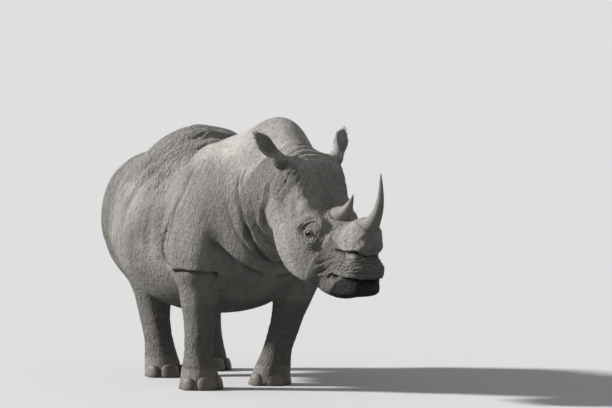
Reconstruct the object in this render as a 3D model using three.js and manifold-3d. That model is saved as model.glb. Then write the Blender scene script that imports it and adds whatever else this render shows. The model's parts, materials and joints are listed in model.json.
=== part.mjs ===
// White rhinoceros, life size, standing in mid step and looking to its left.
// Millimetres. +X is the way the body faces, +Y is its left and +Z is up.
// The soles are at z = 0. At the end the group is moved to centre its box on the origin.
import * as THREE from 'three';
import { mergeVertices } from 'three/addons/utils/BufferGeometryUtils.js';
import Module from 'manifold-3d';

const wasm = await Module();
wasm.setup();

// ---- Driving dimensions -------------------------------------------------------------------

const GAP = 0.3; // between neighbouring pieces
const SIDES = { right: -1, left: 1 };

// The poll is the top of the head between the ears, and the origin of the head's own axes:
// forward along the skull, left, and up out of the forehead.
const POLL = [1290, 95, 1520];
const HEAD_YAW = 16; // degrees to the left
const HEAD_PITCH = 37; // degrees nose down

// Where each foot stands, and how far the leg leans from there over LEAN_HEIGHT of height.
const LEAN_HEIGHT = 900;
const FORELEGS = {
  right: { foot: [450, -330], lean: [0, 10] },
  left: { foot: [300, 200], lean: [330, 150] },
};
const HINDLEGS = {
  right: { foot: [-520, -210], lean: [-160, -30] },
  left: { foot: [-880, 250], lean: [0, 0] },
};
const ELBOW_HEIGHT = 745; // the fold that the foreleg comes out of
const STIFLE_HEIGHT = 800; // where the hind leg is parted from the trunk
const LEG_TOP = 1050; // where the legs end inside the trunk
const MOUTH_HEIGHT = 772; // the line between the lips

const EYE_RADIUS = 21;
const EYE_AT = [453, 168, -245]; // in the head's axes, left eye

const CELL = { trunk: 128, neck: 98, head: 56, leg: 87 }; // facet sizes

// Each row of a loft is a section: place along the axis, centre across, centre up,
// half width, height above the centre, depth below it, and the power of the oval.
const TRUNK = [
  [-1160, 0, 1080, 220, 240, 220, 2.0],
  [-1020, 0, 1050, 345, 390, 300, 2.0],
  [-750, 0, 980, 470, 535, 340, 2.0],
  [-340, 0, 890, 600, 760, 420, 2.0],
  [120, 0, 910, 570, 555, 450, 2.1],
  [500, 10, 1000, 430, 600, 440, 2.1],
  [850, 40, 1100, 310, 520, 400, 2.0],
  [1020, 50, 1120, 240, 420, 320, 2.0],
];
const HEAD = [
  [-120, 0, -200, 160, 170, 170, 2.1],
  [0, 0, -200, 200, 215, 220, 2.6],
  [100, 0, -210, 215, 235, 250, 3.6],
  [220, 0, -240, 205, 208, 290, 3.7],
  [350, 0, -280, 188, 182, 290, 3.4],
  [480, 0, -310, 162, 207, 280, 2.6],
  [590, 0, -310, 125, 240, 270, 2.4],
  [700, 0, -290, 110, 290, 260, 2.4],
  [800, 0, -270, 105, 270, 225, 2.4],
  [890, 0, -250, 100, 200, 170, 2.4],
];
// A leg's axis runs down, so its place is minus the height; across is forward.
const FORELEG = [
  [-950, 0, 0, 180, 160, 160, 2.2],
  [-700, 0, 0, 162, 140, 140, 2.2],
  [-560, 5, 0, 135, 120, 120, 2.2],
  [-450, 8, 0, 114, 102, 102, 2.1],
  [-340, 8, 0, 103, 96, 96, 2.1],
  [-220, 0, 0, 98, 95, 95, 2.1],
  [-100, 12, 0, 118, 117, 117, 2.2],
  [0, 25, 0, 136, 132, 132, 2.3],
];
const HINDLEG = [
  [-1050, -80, 0, 300, 180, 180, 2.2],
  [-800, -20, 0, 235, 170, 170, 2.2],
  [-580, -30, 0, 155, 130, 130, 2.2],
  [-420, -60, 0, 122, 102, 102, 2.1],
  [-220, -20, 0, 95, 95, 95, 2.1],
  [-100, 0, 0, 114, 112, 112, 2.2],
  [0, 20, 0, 130, 126, 126, 2.3],
];
// The hollow that rounds the nose off above the upper lip: its middle line, left half.
const NOSE_UNDERCUT = [[790, 165, -135], [872, 142, -106], [925, 0, -86]];
// Horns: forward, up, radius, in the head's axes. The first row is under the skin.
const HORN_FRONT = [
  [706, -40, 80],
  [722, 2, 78],
  [736, 40, 62],
  [744, 85, 47],
  [744, 135, 37],
  [729, 200, 28],
  [694, 268, 18],
  [655, 322, 10],
  [622, 362, 2.5],
];
const HORN_REAR = [
  [462, -160, 98],
  [472, -118, 94],
  [483, -86, 70],
  [494, -48, 44],
  [499, -6, 29],
  [498, 40, 16],
  [490, 86, 2.5],
];

// ---- Forms as distance fields -------------------------------------------------------------
// Each field is negative inside its form, and near the surface about the distance in mm.

const radians = THREE.MathUtils.degToRad;

// Rows are the turned axes: forward, left, up. Positive pitch is nose down, roll lifts the left.
function turn(yaw, pitch, roll = 0) {
  const [y, p, r] = [yaw, pitch, roll].map(radians);
  const forward = [Math.cos(p) * Math.cos(y), Math.cos(p) * Math.sin(y), -Math.sin(p)];
  const level = [-Math.sin(y), Math.cos(y), 0];
  const raised = cross(forward, level);
  const left = level.map((value, i) => value * Math.cos(r) + raised[i] * Math.sin(r));
  const up = raised.map((value, i) => value * Math.cos(r) - level[i] * Math.sin(r));
  return [forward, left, up];
}

function cross(a, b) {
  return [a[1] * b[2] - a[2] * b[1], a[2] * b[0] - a[0] * b[2], a[0] * b[1] - a[1] * b[0]];
}

function dot(a, b) {
  return a[0] * b[0] + a[1] * b[1] + a[2] * b[2];
}

const HEAD_AXES = turn(HEAD_YAW, HEAD_PITCH);

function toHead(p) {
  const away = [p[0] - POLL[0], p[1] - POLL[1], p[2] - POLL[2]];
  return HEAD_AXES.map((axis) => dot(axis, away));
}

function headDirection(q) {
  return [0, 1, 2].map((i) => dot(q, HEAD_AXES.map((axis) => axis[i])));
}

function fromHead(q) {
  return headDirection(q).map((value, i) => value + POLL[i]);
}

// Joins two fields with a fillet about as wide as blend.
function join(a, b, blend) {
  const share = Math.max(blend - Math.abs(a - b), 0) / blend;
  return Math.min(a, b) - share * share * blend * 0.25;
}

function overlap(a, b, blend) {
  return -join(-a, -b, blend);
}

// A smooth curve through the rows of a table, whose first column is the place along it.
function along(rows, place) {
  const last = rows.length - 1;
  const at = Math.min(Math.max(place, rows[0][0]), rows[last][0]);
  let i = 0;
  while (i < last - 1 && at >= rows[i + 1][0]) i += 1;
  const span = rows[i + 1][0] - rows[i][0];
  const t = (at - rows[i][0]) / span;
  return rows[i].map((value, column) => {
    const next = rows[i + 1][column];
    const leave = slope(rows, i, column) * span;
    const arrive = slope(rows, i + 1, column) * span;
    return (1 + 2 * t) * (1 - t) ** 2 * value + t * (1 - t) ** 2 * leave
      + t * t * (3 - 2 * t) * next + t * t * (t - 1) * arrive;
  });
}

// Slope of a column at a row, from the rows on both sides weighted by their distance.
function slope(rows, i, column) {
  const step = (j) => (rows[j + 1][column] - rows[j][column]) / (rows[j + 1][0] - rows[j][0]);
  if (i === 0) return step(0);
  if (i === rows.length - 1) return step(i - 1);
  const before = rows[i][0] - rows[i - 1][0];
  const after = rows[i + 1][0] - rows[i][0];
  return (step(i - 1) * after + step(i) * before) / (before + after);
}

// A loft of ovals. The point is given as place along the axis, across and up.
function loft(rows, [place, across, up], rounding) {
  const [, acrossCentre, upCentre, half, above, below, power] = along(rows, place);
  const rise = up - upCentre;
  const height = rise > 0 ? above : below;
  const wide = Math.abs(across - acrossCentre) / half;
  const tall = Math.abs(rise) / height;
  const oval = (wide ** power + tall ** power) ** (1 / power);
  const side = (oval - 1) * Math.min(half, height);
  if (rounding === 0) return side;
  const ends = Math.max(rows[0][0] - place, place - rows[rows.length - 1][0]);
  return overlap(side, ends, rounding);
}

function ellipsoid(p, centre, radii, axes) {
  const away = [p[0] - centre[0], p[1] - centre[1], p[2] - centre[2]];
  const q = axes ? axes.map((axis) => dot(axis, away)) : away;
  const scaled = Math.hypot(q[0] / radii[0], q[1] / radii[1], q[2] / radii[2]);
  const steep = Math.hypot(q[0] / radii[0] ** 2, q[1] / radii[1] ** 2, q[2] / radii[2] ** 2);
  return scaled * (scaled - 1) / (steep + 1e-9);
}

// A box-like form with round faces: the higher the power, the squarer.
function block(q, radii, power) {
  const sum = radii.reduce((total, radius, i) => total + (Math.abs(q[i]) / radius) ** power, 0);
  return (sum ** (1 / power) - 1) * Math.min(...radii);
}

// A tapering rod with round ends.
function rod(p, a, b, radiusA, radiusB) {
  const run = [b[0] - a[0], b[1] - a[1], b[2] - a[2]];
  const away = [p[0] - a[0], p[1] - a[1], p[2] - a[2]];
  const t = Math.min(Math.max(dot(away, run) / dot(run, run), 0), 1);
  const distance = Math.hypot(away[0] - run[0] * t, away[1] - run[1] * t, away[2] - run[2] * t);
  return distance - (radiusA + (radiusB - radiusA) * t);
}

// ---- The animal's flesh -------------------------------------------------------------------

function barrel(p) {
  let form = loft(TRUNK, p, 250);
  form = join(form, ellipsoid(p, [860, 75, 1400], [330, 190, 330]), 160); // hump over the neck
  form = join(form, ellipsoid(p, [500, 0, 1360], [300, 260, 240]), 150); // withers
  for (const [side, sign] of Object.entries(SIDES)) {
    form = join(form, ellipsoid(p, [-800, sign * 250, 1010], [310, 245, 400]), 140); // haunch
    form = join(form, rod(p, [-850, sign * 215, 1080], kneeOf(side), 245, 135), 100); // thigh
    const lean = turn(0, 0, sign * 10);
    form = join(form, ellipsoid(p, [470, sign * 310, 1100], [290, 187, 460], lean), 60); // shoulder
  }
  return form;
}

// The knee is on the leg's leaning axis, a little behind it.
function kneeOf(side) {
  const { foot, lean } = HINDLEGS[side];
  const height = 640;
  const climb = height / LEAN_HEIGHT;
  return [foot[0] + lean[0] * climb - 20, foot[1] + lean[1] * climb, height];
}

function neckForm(p) {
  return rod(p, [800, 40, 1180], fromHead([40, 0, -220]), 340, 210);
}

// Turns a point about the head's left axis so that the result lies level with the ground.
function levelled(q, at) {
  const pitch = radians(HEAD_PITCH);
  const x = q[0] - at[0];
  const z = q[2] - at[1];
  return [x * Math.cos(pitch) + z * Math.sin(pitch), q[1], z * Math.cos(pitch) - x * Math.sin(pitch)];
}

function headForm(p) {
  const q = toHead(p);
  const mirrored = [q[0], Math.abs(q[1]), q[2]];
  let form = loft(HEAD, q, 60);
  form = join(form, block(levelled(q, [742, -88]), [100, 110, 125], 2.4), 50); // nose
  form = join(form, block(levelled(q, [822, -238]), [125, 138, 80], 3), 35); // upper lip
  form = join(form, block(levelled(q, [872, -348]), [122, 122, 56], 3), 30); // lower lip
  for (let i = 1; i < NOSE_UNDERCUT.length; i += 1) {
    form = overlap(form, -rod(mirrored, NOSE_UNDERCUT[i - 1], NOSE_UNDERCUT[i], 50, 50), 30);
  }
  form = join(form, ellipsoid(mirrored, [380, 100, -420], [240, 95, 180]), 60); // jaw muscle
  form = join(form, rod(mirrored, [140, 150, -210], [480, 130, -310], 55, 50), 50); // cheek bone
  form = join(form, rod(mirrored, [330, 150, -165], [480, 125, -165], 45, 38), 40); // brow
  form = join(form, rod(mirrored, [35, 130, -85], [-8, 228, -40], 98, 52), 50); // ear base
  return form;
}

function legForm(p, rows, { foot, lean }) {
  const climb = Math.min(Math.max(p[2] / LEAN_HEIGHT, 0), 1.2);
  const across = p[0] - foot[0] - lean[0] * climb;
  const out = p[1] - foot[1] - lean[1] * climb;
  return loft(rows, [-p[2], across, out], 0);
}

function legsForm(p) {
  const forms = [];
  for (const side of Object.keys(SIDES)) {
    forms.push(legForm(p, FORELEG, FORELEGS[side]), legForm(p, HINDLEG, HINDLEGS[side]));
  }
  return overlap(Math.min(...forms), p[2] - LEG_TOP, 200);
}

function flesh(p) {
  let form = join(barrel(p), neckForm(p), 150);
  form = join(form, headForm(p), 60);
  return join(form, legsForm(p), 40);
}

// ---- From fields and geometries to solids -------------------------------------------------

// Surface nets: one vertex in each cell that the surface crosses, then moved onto the surface.
function surface(field, low, high, cell) {
  const count = low.map((value, i) => Math.ceil((high[i] - value) / cell) + 1);
  const at = (i, j, k) => (i * count[1] + j) * count[2] + k;
  const place = (i, j, k) => [low[0] + i * cell, low[1] + j * cell, low[2] + k * cell];
  const values = new Float64Array(count[0] * count[1] * count[2]);
  const rim = (n, i) => n === 0 || n === count[i] - 1;
  for (let i = 0; i < count[0]; i += 1) {
    for (let j = 0; j < count[1]; j += 1) {
      for (let k = 0; k < count[2]; k += 1) {
        const outside = rim(i, 0) || rim(j, 1) || rim(k, 2);
        const value = field(place(i, j, k));
        values[at(i, j, k)] = outside ? Math.max(value, cell) : value;
      }
    }
  }
  const vertices = [];
  const vertexOf = new Map();
  const cellVertex = (corner) => {
    const key = at(...corner);
    if (!vertexOf.has(key)) {
      vertexOf.set(key, vertices.length);
      vertices.push(cellCentre(values, at, corner).map((value, i) => low[i] + value * cell));
    }
    return vertexOf.get(key);
  };
  const faces = [];
  for (let i = 0; i < count[0] - 1; i += 1) {
    for (let j = 0; j < count[1] - 1; j += 1) {
      for (let k = 0; k < count[2] - 1; k += 1) {
        addFaces(faces, values, at, cellVertex, [i, j, k]);
      }
    }
  }
  return { vertices, faces };
}

// Mean of the places where the surface crosses the cell's twelve edges, in cells.
function cellCentre(values, at, corner) {
  const sum = [0, 0, 0];
  let crossings = 0;
  for (let axis = 0; axis < 3; axis += 1) {
    for (const [u, v] of [[0, 0], [0, 1], [1, 0], [1, 1]]) {
      const start = [...corner];
      start[(axis + 1) % 3] += u;
      start[(axis + 2) % 3] += v;
      const end = [...start];
      end[axis] += 1;
      const [a, b] = [values[at(...start)], values[at(...end)]];
      if (a < 0 === b < 0) continue;
      start[axis] += a / (a - b);
      start.forEach((value, i) => { sum[i] += value; });
      crossings += 1;
    }
  }
  return sum.map((value) => value / crossings);
}

// Two triangles for each grid edge out of this corner that crosses the surface.
function addFaces(faces, values, at, cellVertex, corner) {
  const inside = values[at(...corner)] < 0;
  for (let axis = 0; axis < 3; axis += 1) {
    const end = [...corner];
    end[axis] += 1;
    if (inside === values[at(...end)] < 0) continue;
    const ring = [[0, 0], [-1, 0], [-1, -1], [0, -1]].map(([u, v]) => {
      const cellCorner = [...corner];
      cellCorner[(axis + 1) % 3] += u;
      cellCorner[(axis + 2) % 3] += v;
      return cellVertex(cellCorner);
    });
    if (!inside) ring.reverse();
    faces.push([ring[0], ring[1], ring[2]], [ring[0], ring[2], ring[3]]);
  }
}

// Moves a vertex along the field's slope until the field there is zero.
function settle(field, vertex, reach) {
  let p = vertex;
  for (let pass = 0; pass < 3; pass += 1) {
    const value = field(p);
    const gradient = [0, 1, 2].map((i) => {
      const probe = [...p];
      probe[i] += 1;
      return field(probe) - value;
    });
    const step = -value / Math.max(dot(gradient, gradient), 0.2);
    const limit = Math.min(1, reach / (Math.abs(step) * Math.hypot(...gradient) + 1e-9));
    p = p.map((coordinate, i) => coordinate + gradient[i] * step * limit);
  }
  return p;
}

function solidFrom(vertices, faces) {
  const vertProperties = new Float32Array(vertices.flat());
  const triVerts = new Uint32Array(faces.flat());
  return new wasm.Manifold(new wasm.Mesh({ numProp: 3, vertProperties, triVerts }));
}

// The flesh inside a box, with square ends that a cut then takes off.
function fleshIn(low, high, cell) {
  const { vertices, faces } = surface(flesh, low, high, cell);
  const rim = cell * 1.5;
  const inner = (p) => p.every((value, i) => value > low[i] + rim && value < high[i] - rim);
  const settled = vertices.map((p) => (inner(p) ? settle(flesh, p, cell * 0.4) : p));
  return solidFrom(settled, faces);
}

function solidOf(geometry) {
  geometry.deleteAttribute('normal');
  geometry.deleteAttribute('uv');
  const merged = mergeVertices(geometry, 0.001);
  const vertProperties = new Float32Array(merged.attributes.position.array);
  const triVerts = new Uint32Array(merged.index.array);
  return new wasm.Manifold(new wasm.Mesh({ numProp: 3, vertProperties, triVerts }));
}

// Everything on one side of a plane: the side that the normal points to.
function halfSpace(point, normal) {
  const size = 8000;
  const geometry = new THREE.BoxGeometry(size, size, size);
  const up = new THREE.Vector3(0, 0, 1);
  const direction = new THREE.Vector3(...normal).normalize();
  geometry.translate(0, 0, size / 2);
  geometry.applyQuaternion(new THREE.Quaternion().setFromUnitVectors(up, direction));
  geometry.translate(...point);
  return solidOf(geometry);
}

const LEVEL = turn(0, 0);

// A ball stretched to three radii along three given axes.
function ball(centre, radii, axes, around = 16) {
  const geometry = new THREE.SphereGeometry(1, around, Math.round(around * 0.6));
  geometry.scale(...radii);
  const matrix = new THREE.Matrix4().makeBasis(...axes.map((axis) => new THREE.Vector3(...axis)));
  geometry.applyMatrix4(matrix);
  geometry.translate(...centre);
  return solidOf(geometry);
}

// Ovals along a path, closed at both ends. Rings are { centre, half, depth }, and wide is the
// direction of each oval's half width.
function sweep(rings, wide, sides) {
  const vertices = [];
  const faces = [];
  const wideAxis = new THREE.Vector3(...wide).normalize();
  const ringStart = (i) => i * sides;
  rings.forEach((ring, i) => {
    const before = new THREE.Vector3(...rings[Math.max(i - 1, 0)].centre);
    const after = new THREE.Vector3(...rings[Math.min(i + 1, rings.length - 1)].centre);
    const tangent = after.sub(before).normalize();
    const deep = new THREE.Vector3().crossVectors(tangent, wideAxis).normalize();
    const across = new THREE.Vector3().crossVectors(deep, tangent);
    for (let side = 0; side < sides; side += 1) {
      const angle = (2 * Math.PI * side) / sides;
      const point = new THREE.Vector3(...ring.centre)
        .addScaledVector(across, ring.half * Math.cos(angle))
        .addScaledVector(deep, ring.depth * Math.sin(angle));
      vertices.push(point.toArray());
    }
  });
  for (let i = 0; i < rings.length - 1; i += 1) {
    for (let side = 0; side < sides; side += 1) {
      const next = (side + 1) % sides;
      const [a, b] = [ringStart(i) + side, ringStart(i) + next];
      const [c, d] = [ringStart(i + 1) + side, ringStart(i + 1) + next];
      faces.push([a, b, c], [b, d, c]);
    }
  }
  for (const [ring, first] of [[0, true], [rings.length - 1, false]]) {
    const middle = vertices.length;
    vertices.push(rings[ring].centre);
    for (let side = 0; side < sides; side += 1) {
      const [a, b] = [ringStart(ring) + side, ringStart(ring) + (side + 1) % sides];
      faces.push(first ? [middle, b, a] : [middle, a, b]);
    }
  }
  return solidFrom(vertices, faces);
}

// Takes from a piece what lies in the body it grows from, and a thin gap along its direction.
function growingFrom(piece, body, direction) {
  const length = Math.hypot(...direction);
  const shift = direction.map((value) => (value / length) * GAP);
  return largest(piece.subtract(body).subtract(body.translate(shift)));
}

function largest(solid) {
  const parts = solid.decompose();
  return parts.reduce((best, part) => (part.volume() > best.volume() ? part : best));
}

// ---- Cutters ------------------------------------------------------------------------------

// Outlines of the drums that part the legs off: radius and height, from under the sole upward.
const FORE_DRUM = [
  [0, -60],
  [188, -60],
  [188, 120],
  [142, 230],
  [148, 420],
  [168, 600],
  [198, ELBOW_HEIGHT],
];
const HIND_DRUM = [
  [0, -60],
  [188, -60],
  [188, 110],
  [150, 230],
  [165, 420],
  [200, 560],
  [300, STIFLE_HEIGHT],
];

// A drum leaning like the leg inside it, narrowed sideways, and grown all round by a gap.
function legDrum({ foot, lean }, outline, narrow, grow) {
  const points = outline.map(([radius, height]) => new THREE.Vector2(radius && radius + grow, height));
  const rim = points[points.length - 1];
  rim.y += grow;
  points.push(new THREE.Vector2(0, rim.y));
  const geometry = new THREE.LatheGeometry(points, 24);
  geometry.rotateX(Math.PI / 2);
  geometry.scale(1, narrow, 1);
  const [leanX, leanY] = lean.map((value) => value / LEAN_HEIGHT);
  geometry.applyMatrix4(new THREE.Matrix4().makeShear(0, 0, 0, 0, leanX, leanY));
  geometry.translate(...foot, 0);
  return solidOf(geometry);
}

function forelegDrum(side, grow) {
  return legDrum(FORELEGS[side], FORE_DRUM, 1, grow);
}

function hindlegDrum(side, grow) {
  return legDrum(HINDLEGS[side], HIND_DRUM, 0.85, grow);
}

const NECK_PLANE = { point: [790, 0, 1200], normal: [0.985, 0.05, 0.17] };
const HEAD_PLANE = { point: fromHead([-140, 0, 150]), normal: headDirection([0.963, 0, 0.27]) };

function beyond({ point, normal }) {
  return halfSpace(point, normal);
}

function before({ point, normal }) {
  const length = Math.hypot(...normal);
  const opposite = normal.map((value) => -value);
  return halfSpace(point.map((value, i) => value - (normal[i] / length) * GAP), opposite);
}

const ABOVE_FLOOR = halfSpace([0, 0, 0], [0, 0, 1]);

// ---- Pieces -------------------------------------------------------------------------------

function makeTrunk() {
  let trunk = fleshIn([-1330, -780, 330], [1000, 780, 1850], CELL.trunk);
  trunk = trunk.intersect(before(NECK_PLANE));
  for (const side of Object.keys(SIDES)) {
    trunk = trunk.subtract(forelegDrum(side, GAP)).subtract(hindlegDrum(side, GAP));
  }
  return largest(trunk);
}

function makeNeck() {
  const neck = fleshIn([620, -560, 560], [1620, 600, 1900], CELL.neck);
  return largest(neck.intersect(beyond(NECK_PLANE)).intersect(before(HEAD_PLANE)));
}

// Hollows of the face, for the left side: centre and radii in the head's axes.
const EYE_SOCKET = { at: [455, 200, -245], radii: [50, 42, 36] };
const NOSTRIL = { at: [800, 108, -150], radii: [42, 22, 15] };

function onSide([forward, left, up], sign) {
  return fromHead([forward, sign * left, up]);
}

function makeSkull() {
  const head = fleshIn([1010, -330, 520], [2140, 660, 1760], CELL.head);
  let skull = largest(head.intersect(beyond(HEAD_PLANE)));
  for (const sign of Object.values(SIDES)) {
    skull = skull.subtract(ball(onSide(EYE_SOCKET.at, sign), EYE_SOCKET.radii, HEAD_AXES));
    skull = skull.subtract(ball(onSide(NOSTRIL.at, sign), NOSTRIL.radii, HEAD_AXES, 10));
    skull = skull.subtract(makeEye(sign, EYE_RADIUS + GAP));
  }
  return skull;
}

function makeEye(sign, radius) {
  return ball(onSide(EYE_AT, sign), [radius, radius, radius], LEVEL, 12);
}

function makeLeg(box, cell, drum, nails) {
  let leg = fleshIn(...box, cell).intersect(drum).intersect(ABOVE_FLOOR);
  for (const nail of nails) leg = leg.subtract(nail);
  return largest(leg);
}

// Box around a leg, from below the sole to above where it is parted off.
function legBox({ foot, lean }, top, reach) {
  const climb = top / LEAN_HEIGHT;
  const ends = [0, 1].map((i) => [foot[i], foot[i] + lean[i] * climb]);
  const low = ends.map((pair) => Math.min(...pair) - reach);
  const high = ends.map((pair) => Math.max(...pair) + reach);
  return [[...low, -130], [...high, top + 130]];
}

// Each toenail's angle in degrees around the front of the foot, and its half width.
const NAILS = {
  inner: { angle: -52, half: 42 },
  middle: { angle: 0, half: 56 },
  outer: { angle: 52, half: 42 },
};
// The circle that a foot's toenails stand on: its centre ahead of the leg's, and its radius.
const FORE_TOES = { ahead: 25, radius: 120 };
const HIND_TOES = { ahead: 20, radius: 114 };

// A toenail is a flat-bottomed lump on the front rim of the foot.
function nail({ foot }, { ahead, radius }, { angle, half }, sign, grow) {
  const heading = radians(angle * sign);
  const forward = foot[0] + ahead + radius * Math.cos(heading);
  const left = foot[1] + radius * Math.sin(heading);
  const radii = [30, half, 46].map((value) => value + grow);
  const lump = ball([forward, left, 34], radii, turn(angle * sign, -14), 8);
  return lump.intersect(halfSpace([0, 0, 5 - grow], [0, 0, 1]));
}

// A leg and its toenails, each clear of the other.
function addFoot(name, side, stance, toes, makeLegWithout) {
  const sign = SIDES[side];
  const lumps = (grow) => Object.values(NAILS).map((each) => nail(stance, toes, each, sign, grow));
  addPiece(`${name}leg_${side}`, makeLegWithout(lumps(GAP)), hide);
  const nails = lumps(0);
  Object.keys(NAILS).forEach((toe, i) => addPiece(`toenail_${name}_${side}_${toe}`, nails[i], hoof));
}

// One row of ear sections: share of the length, half width, half depth, all from root to tip.
const EAR = [
  [-0.2, 44, 44],
  [0.0, 47, 45],
  [0.2, 44, 40],
  [0.42, 52, 36],
  [0.62, 58, 29],
  [0.8, 47, 20],
  [0.93, 24, 11],
  [1.0, 5, 4],
];
// Root and tip in the head's axes, and the way the cup faces.
const EARS = {
  right: { root: [-12, -235, -25], tip: [-168, -352, 58], facing: [0.62, -0.1, 0.5] },
  left: { root: [-12, 235, -25], tip: [-172, 360, 62], facing: [0.62, 0, 0.5] },
};

// The hollow of the ear: its place along and out of the ear's axis, and its radii.
const EAR_CUP = { share: 0.58, out: 32, radii: [82, 48, 40] };

function unit(direction) {
  const length = Math.hypot(...direction);
  return direction.map((value) => value / length);
}

function makeEar(side, skull) {
  const { root, tip, facing } = EARS[side];
  const run = tip.map((value, i) => value - root[i]);
  const onAxis = (share) => root.map((value, i) => value + run[i] * share);
  const rings = EAR.map(([share, half, depth]) => ({ centre: fromHead(onAxis(share)), half, depth }));
  const axis = unit(run);
  const wide = unit(cross(facing, axis));
  const deep = cross(axis, wide);
  const cup = onAxis(EAR_CUP.share).map((value, i) => value + deep[i] * EAR_CUP.out);
  const hollow = ball(fromHead(cup), EAR_CUP.radii, [axis, wide, deep].map(headDirection), 12);
  const ear = sweep(rings, headDirection(wide), 10);
  return growingFrom(ear.subtract(hollow), skull, headDirection(run));
}

function makeHorn(rows, skull) {
  const narrow = 0.94; // a horn is a little narrower than it is long
  const rings = rows.map(([forward, up, radius]) => (
    { centre: fromHead([forward, 0, up]), half: radius * narrow, depth: radius }));
  return growingFrom(sweep(rings, HEAD_AXES[1], 12), skull, HEAD_AXES[2]);
}

// The tail: forward, height, half width and half depth at each joint of its fleshy part.
const TAIL = [
  [-1090, 1130, 62, 62],
  [-1165, 1060, 48, 48],
  [-1198, 960, 34, 32],
  [-1206, 840, 25, 23],
  [-1198, 720, 20, 18],
  [-1196, 640, 18, 16],
  [-1196, 600, 18, 16],
];

// The flat brush of hair at its end, in the same terms.
const TAIL_BRUSH = [
  [-1196, 600 - GAP, 19, 16],
  [-1196, 575, 27, 16],
  [-1192, 520, 27, 13],
  [-1190, 470, 12, 7],
];

function sweepDown(rows) {
  return sweep(rows.map(([x, z, half, depth]) => ({ centre: [x, 0, z], half, depth })), [1, 0, 0], 10);
}

function makeTail(trunk) {
  return growingFrom(sweepDown(TAIL), trunk, [-1, 0, 0.3]);
}

// ---- The group ----------------------------------------------------------------------------

const hide = new THREE.MeshStandardMaterial({ color: '#a09b92', roughness: 0.88, metalness: 0 });
const horn = new THREE.MeshStandardMaterial({ color: '#6f675d', roughness: 0.62, metalness: 0 });
const hoof = new THREE.MeshStandardMaterial({ color: '#5d564d', roughness: 0.7, metalness: 0 });
const eyeball = new THREE.MeshStandardMaterial({ color: '#1c130d', roughness: 0.12, metalness: 0 });
const brush = new THREE.MeshStandardMaterial({ color: '#2b2723', roughness: 0.9, metalness: 0 });

const rhinoceros = new THREE.Group();

function addPiece(name, solid, material) {
  const { vertProperties, triVerts } = solid.getMesh();
  const geometry = new THREE.BufferGeometry();
  geometry.setAttribute('position', new THREE.BufferAttribute(vertProperties, 3));
  geometry.setIndex(new THREE.BufferAttribute(triVerts, 1));
  geometry.computeVertexNormals();
  const piece = new THREE.Mesh(geometry, material);
  piece.name = name;
  rhinoceros.add(piece);
}

const trunk = makeTrunk();
const skull = makeSkull();
addPiece('trunk', trunk, hide);
addPiece('tail', makeTail(trunk), hide);
addPiece('tail_brush', sweepDown(TAIL_BRUSH), brush);
addPiece('neck', makeNeck(), hide);
const MOUTH = { point: [0, 0, MOUTH_HEIGHT], normal: [0, 0, 1] };
addPiece('head', largest(skull.intersect(beyond(MOUTH))), hide);
addPiece('lower_jaw', largest(skull.intersect(before(MOUTH))), hide);
addPiece('horn_front', makeHorn(HORN_FRONT, skull), horn);
addPiece('horn_rear', makeHorn(HORN_REAR, skull), horn);

for (const [side, sign] of Object.entries(SIDES)) {
  addPiece(`ear_${side}`, makeEar(side, skull), hide);
  addPiece(`eye_${side}`, makeEye(sign, EYE_RADIUS), eyeball);
  const foreBox = legBox(FORELEGS[side], ELBOW_HEIGHT, 290);
  const hindBox = legBox(HINDLEGS[side], STIFLE_HEIGHT, 400);
  const foreleg = (nails) => makeLeg(foreBox, CELL.leg, forelegDrum(side, 0), nails);
  const hindleg = (nails) => makeLeg(hindBox, CELL.leg, hindlegDrum(side, 0), nails);
  addFoot('fore', side, FORELEGS[side], FORE_TOES, foreleg);
  addFoot('hind', side, HINDLEGS[side], HIND_TOES, hindleg);
}

const box = new THREE.Box3().setFromObject(rhinoceros);
const centre = box.getCenter(new THREE.Vector3());
rhinoceros.position.set(-centre.x, -centre.y, 0);

export default rhinoceros;
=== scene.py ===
import json
import bpy
import mathutils
import numpy as np
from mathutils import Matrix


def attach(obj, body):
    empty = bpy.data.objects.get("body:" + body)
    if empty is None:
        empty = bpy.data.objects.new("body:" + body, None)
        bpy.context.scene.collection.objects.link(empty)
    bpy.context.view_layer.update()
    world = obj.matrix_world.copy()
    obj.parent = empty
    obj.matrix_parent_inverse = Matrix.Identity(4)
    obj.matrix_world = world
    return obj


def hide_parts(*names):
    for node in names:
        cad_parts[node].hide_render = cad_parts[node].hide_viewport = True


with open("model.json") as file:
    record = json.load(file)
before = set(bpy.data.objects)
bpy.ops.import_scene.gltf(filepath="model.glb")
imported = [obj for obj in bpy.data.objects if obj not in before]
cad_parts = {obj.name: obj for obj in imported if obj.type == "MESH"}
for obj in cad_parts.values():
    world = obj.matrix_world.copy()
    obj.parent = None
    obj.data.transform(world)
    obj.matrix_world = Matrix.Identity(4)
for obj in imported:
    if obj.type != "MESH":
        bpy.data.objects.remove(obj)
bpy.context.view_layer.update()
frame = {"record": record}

# ==== Stance ==================================================================================
# An adult white rhinoceros in mid step, its head low and turned to its left. It is worked out in
# axes of its own: x the way the body faces, y its left, z up from the soles. SHIFT takes those
# axes to the frame's, by the place of the right forefoot's sole.

SIDES = {"right": -1, "left": 1}
# Each leg: where its foot stands, and how far it leans ahead and to the left by LEAN_HEIGHT.
LEAN_HEIGHT = 0.9
FORELEGS = {"right": ((0.45, -0.33), (0.0, 0.01)), "left": ((0.30, 0.20), (0.33, 0.15))}
HINDLEGS = {"right": ((-0.52, -0.21), (-0.16, -0.03)), "left": ((-0.88, 0.25), (0.0, 0.0))}
FORE_TOES_AHEAD = 0.025
HIND_TOES_AHEAD = 0.020

soles = {mount["name"]: np.array(mount["pos_m"]) for mount in frame["record"]["mounts"]}
right_sole = np.array([*FORELEGS["right"][0], 0.0]) + [FORE_TOES_AHEAD, 0.0, 0.0]
SHIFT = soles["sole_fore_right"] - right_sole

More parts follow.
